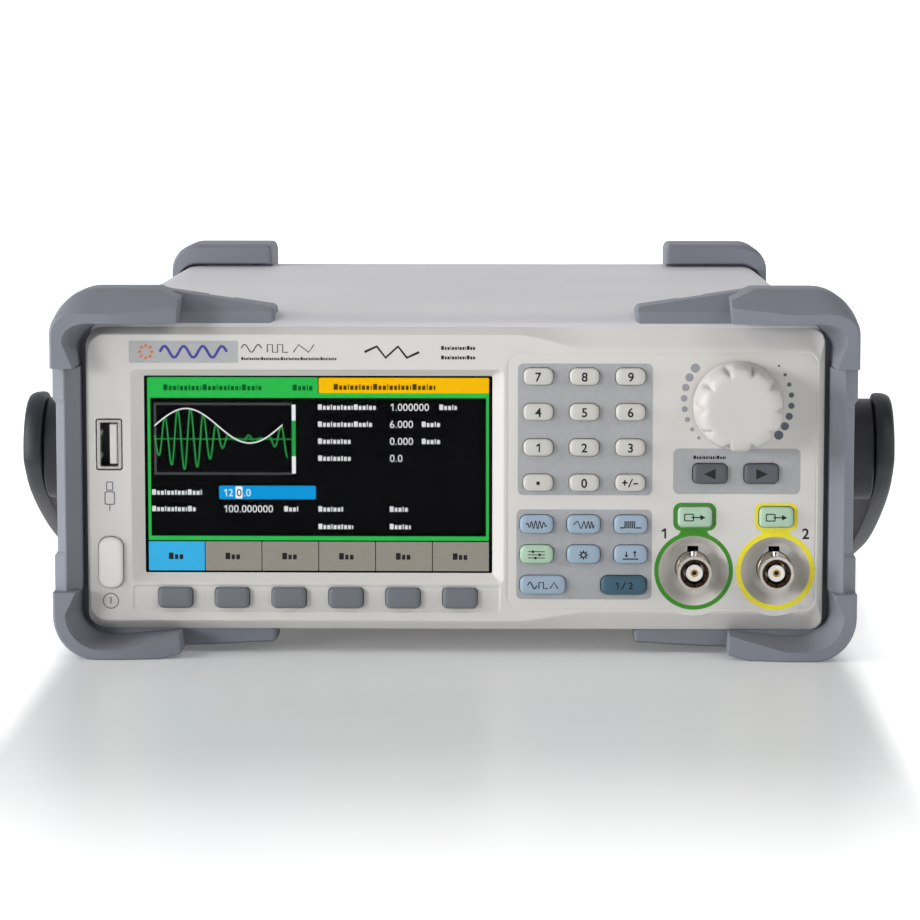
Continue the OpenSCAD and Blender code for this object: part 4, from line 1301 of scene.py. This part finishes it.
# Places on the picture count across from its left side and down from its top
PICTURE_X0, PICTURE_X1 = WINDOW_X[0] + 0.65, WINDOW_X[1] - 1.0
PICTURE_TOP = WINDOW_Z[1] - 0.7
PICTURE_DEPTH = 15.12
TAB_H, FRAME_TOP, FRAME_LINE = 4.55, 5.9, 0.82
FIELD_BOTTOM, CELLS_TOP, CELLS_BOTTOM = 45.6, 47.2, 55.6
SPLIT = 48.7
FIRST_ROW, ROW_PITCH = 8.5, 4.88
LABEL_LEFT, LABEL_RIGHT, VALUE_LEFT, VALUE_RIGHT = 1.1, 48.7, 21.4, 69.1


class Light(Ink):
    """A layer of the picture, measured from its top left corner: across and down."""

    def __init__(self, layer):
        super().__init__(PICTURE_DEPTH - 0.05 * layer, 0.02)

    def box(self, left, right, top, bottom, r=0.0):
        self.bar(PICTURE_X0 + left, PICTURE_X0 + right, PICTURE_TOP - bottom, PICTURE_TOP - top, r)

    def line(self, points, width):
        self.stroke([(PICTURE_X0 + x, PICTURE_TOP - y) for x, y in points], width)

    def word(self, left, y, width, height=1.55):
        greek(self, PICTURE_X0 + left, PICTURE_TOP - y, width, height)

    def value(self, text, left, y, height=2.05):
        self.digits(text, PICTURE_X0 + left, PICTURE_TOP - y, height, anchor=0.0, bold=0.004)

    def done(self, name, colour):
        self.finish("picture_" + name, BODY, lit("lit_" + name, srgb(*colour)), "window_glass")


def screen():
    """A modulated wave with its settings; words are rows of blocks and values are plain figures."""
    width = PICTURE_X1 - PICTURE_X0
    plate = Light(0)
    plate.box(-1.6, width + 1.6, -1.8, CELLS_BOTTOM + 1.8)
    plate.done("black", (3, 3, 4))
    green = Light(1)
    frame_bottom = FIELD_BOTTOM + 1.25
    green.box(0, SPLIT, 0, FRAME_TOP, 0.3)
    green.box(0, width, TAB_H, FRAME_TOP)
    for left in (0, width - FRAME_LINE):
        green.box(left, left + FRAME_LINE, TAB_H, frame_bottom)
    green.box(0, width, FIELD_BOTTOM, frame_bottom)
    green.done("green", (44, 186, 78))
    yellow = Light(2)
    yellow.box(SPLIT + 0.25, width, 0.1, TAB_H - 0.05, 0.3)
    yellow.done("yellow", (250, 190, 3))
    screen_tabs()
    screen_graph()
    screen_rows()
    screen_cells(width)


def screen_tabs():
    """The two channels' headings."""
    dark_green = Light(3)
    dark_green.word(4.6, 2.9, 28, 1.7)
    dark_green.word(41.5, 2.9, 6.2, 1.7)
    dark_green.done("tab_words_green", (10, 92, 34))
    brown = Light(3)
    brown.word(53.2, 2.7, 29, 1.7)
    brown.done("tab_words_brown", (84, 62, 8))


def screen_graph():
    """The modulated wave inside its grey box, with the envelope in white."""
    left, right, top, bottom, line = 1.8, 41.2, 7.3, 28.0, 0.7
    grey = Light(1)
    grey.box(left, right, top, top + line)
    grey.box(left, right, bottom - line, bottom)
    grey.box(left, left + line, top, bottom)
    grey.done("grey", (70, 70, 72))
    zero, centre, swing, period, start, end = 17.7, 13.9, 4.95, 36.2, 2.0, 38.6

    def envelope(x):
        return centre - swing * math.sin(2 * math.pi * (x - start) / period)

    carrier_period, count = 3.68, 420
    trace = Light(2)
    trace.line([(left, zero), (right, zero)], 0.24)
    points = []
    for i in range(count + 1):
        x = mix(start, end + 1.4, i / count)
        turn = 2 * math.pi * (x - start - 1.1) / carrier_period
        points.append((x, zero + (zero - envelope(x)) * math.cos(turn)))
    trace.line(points, 0.36)
    trace.box(right, right + 1.1, 12.4, 22.6)
    trace.done("trace", (42, 160, 72))
    white = Light(3)
    white.line([(x, envelope(x)) for x in (mix(start, end, i / 80) for i in range(81))], 0.34)
    white.box(right, right + 1.1, 7.8, 12.4)
    white.box(right, right + 1.1, 22.6, 27.6)
    white.done("envelope", (236, 238, 240))


def screen_rows():
    """Four settings at the right, and two below on each side."""
    words = Light(2)
    settings = ((16.8, "1.000000"), (15.4, "6.000"), (9.6, "0.000"), (9.6, "0.0"))
    for i, (length, value) in enumerate(settings):
        y = FIRST_ROW + ROW_PITCH * i
        words.word(LABEL_RIGHT, y, length)
        words.value(value, VALUE_RIGHT, y)
    unit_1, unit_2, unit_3 = VALUE_RIGHT + 14.2, VALUE_RIGHT + 9.2, VALUE_LEFT + 17.5
    row_5, row_6, row_7 = 33.0, 37.75, 42.8
    for left, y, length in ((unit_1, FIRST_ROW, 5.0), (unit_2, FIRST_ROW + ROW_PITCH, 5.6),
                            (unit_2, FIRST_ROW + 2 * ROW_PITCH, 5.6), (LABEL_LEFT, row_5, 15.0),
                            (LABEL_LEFT, row_6, 12.8), (unit_3, row_6, 4.2), (LABEL_RIGHT, row_6, 7.8),
                            (VALUE_RIGHT, row_6, 5.4), (LABEL_RIGHT, row_7, 10.6), (VALUE_RIGHT, row_7, 6.0)):
        words.word(left, y, length)
    words.value("100.000000", VALUE_LEFT, row_6)
    words.done("words", (222, 224, 226))
    field = Light(2)
    field.box(20.3, 48.0, 31.1, 35.0, 0.5)
    field.done("field", (7, 151, 218))
    cell = Light(3)
    cell.box(25.0, 27.0, 31.3, 34.8, 0.4)
    cell.done("cell_white", (240, 242, 244))
    inside = Light(4)
    inside.value("12", VALUE_LEFT, 33.1)
    inside.value(".0", VALUE_LEFT + 5.8, 33.1)
    inside.done("field_value", (214, 238, 250))
    digit = Light(4)
    digit.value("0", 25.3, 33.1)
    digit.done("cell_digit", (30, 34, 40))


def screen_cells(width):
    """Six cells over the soft keys; the first is chosen."""
    count, gap = 6, 0.24
    pitch = (width + gap) / count
    chosen, others, marks = Light(2), Light(2), Light(3)
    for i in range(count):
        left, word_length = pitch * i, 4.6
        (others if i else chosen).box(left, left + pitch - gap, CELLS_TOP, CELLS_BOTTOM, 0.2)
        marks.word(left + (pitch - gap - word_length) / 2, 51.4, word_length, 1.9)
    chosen.done("cell_chosen", (59, 176, 229))
    others.done("cells", (147, 142, 132))
    marks.done("cell_words", (40, 40, 42))


def build():
    front_panel()
    for node in KEY_NODES:
        key_cap(node, *key_look(node))
    knob()
    for bumper in (front_bumper, rear_bumper):
        for side, word in ((-1, "left"), (1, "right")):
            bumper(side, word)
    output_bosses()
    output_contacts()
    output_collars()
    usb_inside()
    printed_areas()
    printed_rings()
    printed_dots()
    printed_strip()
    printed_marks()
    key_legends()
    screen()
    handle()
    soften("handle_hubs", 0.8, HANDLE, segments=3)
    soften("case_cover", 0.3, CASE, merge_flat=False)
    for node, width, material in (
            ("chassis_tray", 0.2, STEEL), ("rear_panel", 0.2, REAR), ("output_bnc_shells", 0.15, NICKEL),
            ("output_bnc_cores", 0.15, INSULATOR), ("rear_bnc_sockets", 0.15, NICKEL),
            ("usb_host_port", 0.12, STEEL), ("mains_inlet", 0.4, BLACK), ("rear_data_ports", 0.15, STEEL),
            ("rear_screw_set", 0.2, SCREW), ("fan_frame", 0.3, BLACK), ("fan_rotor", 0.3, BLACK),
            ("display_module", 0.3, LCD), ("keypad_mat", 0.2, SILICONE), ("encoder_body", 0.2, STEEL),
            ("encoder_shaft", 0.2, STEEL)):
        soften(node, width, material)
    for node, material in (("display_window", WINDOW), ("front_board", PCB), ("main_board", PCB),
                           ("power_supply", STEEL), ("ribbon_cable", RIBBON)):
        paint(node, material)


# ---------- Camera, light and floor ----------

# These places are in the frame's metres
CAMERA_PLACE = (0.0193, -1.0725, 0.1639)
CAMERA_AIM = (-0.0189, 1.0, -0.1146)
LENS, SENSOR_WIDTH = 130.5, 36


def aimed(name, data, place, way):
    """A new camera or lamp that looks along a direction."""
    obj = placed(name, data)
    obj.location = place
    obj.rotation_mode = "QUATERNION"
    obj.rotation_quaternion = way.to_track_quat("-Z", "Y")
    return obj


def camera():
    """A long lens a metre in front of the object, a little to the right and above it."""
    data = bpy.data.cameras.new("camera")
    data.lens = LENS
    data.sensor_width = SENSOR_WIDTH
    data.clip_start = 0.05
    data.clip_end = 50
    bpy.context.scene.camera = aimed("camera", data, CAMERA_PLACE, Vector(CAMERA_AIM))


def area_light(name, place, aim, size, power):
    data = bpy.data.lights.new(name, "AREA")
    data.shape = "RECTANGLE"
    data.size = size[0]
    data.size_y = size[1]
    data.energy = power
    aimed(name, data, place, Vector(aim) - Vector(place))


def painted_shadow_glow(made):
    """A glowing table with a painted shadow: it shines everywhere but under and in front of the object, where
    a dim rectangle stands in for the object's shadow.
    """
    shadow_half_width, shadow_reach, soft_x, soft_y = 0.106, 0.25, 0.011, 0.2
    # How far a place lies outside the painted shadow's rectangle, in widths of its soft edge
    value = made.place
    for operation, operand in (("ABSOLUTE", None), ("SUBTRACT", (shadow_half_width, shadow_reach, 10)),
                               ("MAXIMUM", (0, 0, 0)), ("MULTIPLY", (1 / soft_x, 1 / soft_y, 0)),
                               ("LENGTH", None)):
        node = made.nodes.new("ShaderNodeVectorMath")
        node.operation = operation
        made.links.new(value, node.inputs[0])
        if operand:
            node.inputs[1].default_value = operand
        value = node.outputs["Value" if operation == "LENGTH" else "Vector"]
    # The glow is 0.1 inside the rectangle, which is painted shadow, and 0.55 outside it
    ramp = made.nodes.new("ShaderNodeMapRange")
    ramp.interpolation_type = "SMOOTHSTEP"
    ramp.inputs["To Min"].default_value = 0.1
    ramp.inputs["To Max"].default_value = 0.55
    made.links.new(value, ramp.inputs["Value"])
    made.links.new(ramp.outputs["Result"], made.shader.inputs["Emission Strength"])
    made.set(Emission_Color=(1.0, 1.0, 1.0, 1.0))


def floor():
    """A pale table that curves up into a backdrop; its glow is dimmed under and in front of the object as a
    painted shadow.
    """
    made = Maker("table")
    made.colour(srgb(218, 221, 221), srgb(225, 227, 227), made.noise(6, 2))
    made.rough(0.3, 0.36, made.noise(40, 2))
    made.set(Specular_IOR_Level=0.4)
    painted_shadow_glow(made)
    half_width, front, back, bend, height = 12.0, -12.0, 2.2, 1.2, 4.5
    steps_up = 12
    profile = [(front, 0.0), (back, 0.0)]
    for i in range(1, steps_up + 1):
        c, s = direction(90 * i / steps_up)
        profile.append((back + bend * s, bend * (1 - c)))
    profile.append((back + bend, height))
    mesh = bmesh.new()
    rows = [[mesh.verts.new((x, y, z)) for y, z in profile] for x in (-half_width, half_width)]
    for i in range(len(profile) - 1):
        mesh.faces.new((rows[0][i], rows[1][i], rows[1][i + 1], rows[0][i + 1]))
    data = bpy.data.meshes.new("table")
    mesh.to_mesh(data)
    mesh.free()
    data.shade_smooth()
    data.materials.append(made.material)
    obj = placed("table", data)


LAMP_AIM = (0.0, 0.0, 0.05)


def lamp_place(azimuth, elevation, distance=2.1):
    """A lamp's place: its angle to the left of straight ahead, and its height angle."""
    ahead, aside = direction(azimuth)
    level, up = direction(elevation)
    return (-distance * level * aside, -distance * level * ahead, LAMP_AIM[2] + distance * up)


def studio():
    """Broad lamps, mostly from the left, and one for the backdrop."""
    world = bpy.data.worlds.new("studio")
    world.use_nodes = True
    background = world.node_tree.nodes["Background"]
    background.inputs["Color"].default_value = (0.95, 0.97, 1.0, 1.0)
    background.inputs["Strength"].default_value = 0.02
    bpy.context.scene.world = world
    bpy.context.scene.view_settings.view_transform = "Standard"
    for name, azimuth, elevation, size, power in (
            ("key", 42, 8, (0.5, 0.4), 13), ("side_left", 75, 12, (0.9, 0.7), 26),
            ("side_right", -75, 12, (0.9, 0.7), 7), ("high_left", 65, 38, (0.8, 0.6), 10),
            ("high_right", -45, 38, (0.9, 0.7), 7), ("fill", -35, 15, (1.2, 1.0), 3)):
        area_light(name, lamp_place(azimuth, elevation), LAMP_AIM, size, power)
    area_light("top", (-0.1, 0.4, 1.8), LAMP_AIM, (1.5, 1.5), 4)
    area_light("backdrop", (0.0, 1.6, 1.6), (0.0, 3.3, 0.8), (3.0, 1.0), 20)


camera()
studio()
floor()
build()
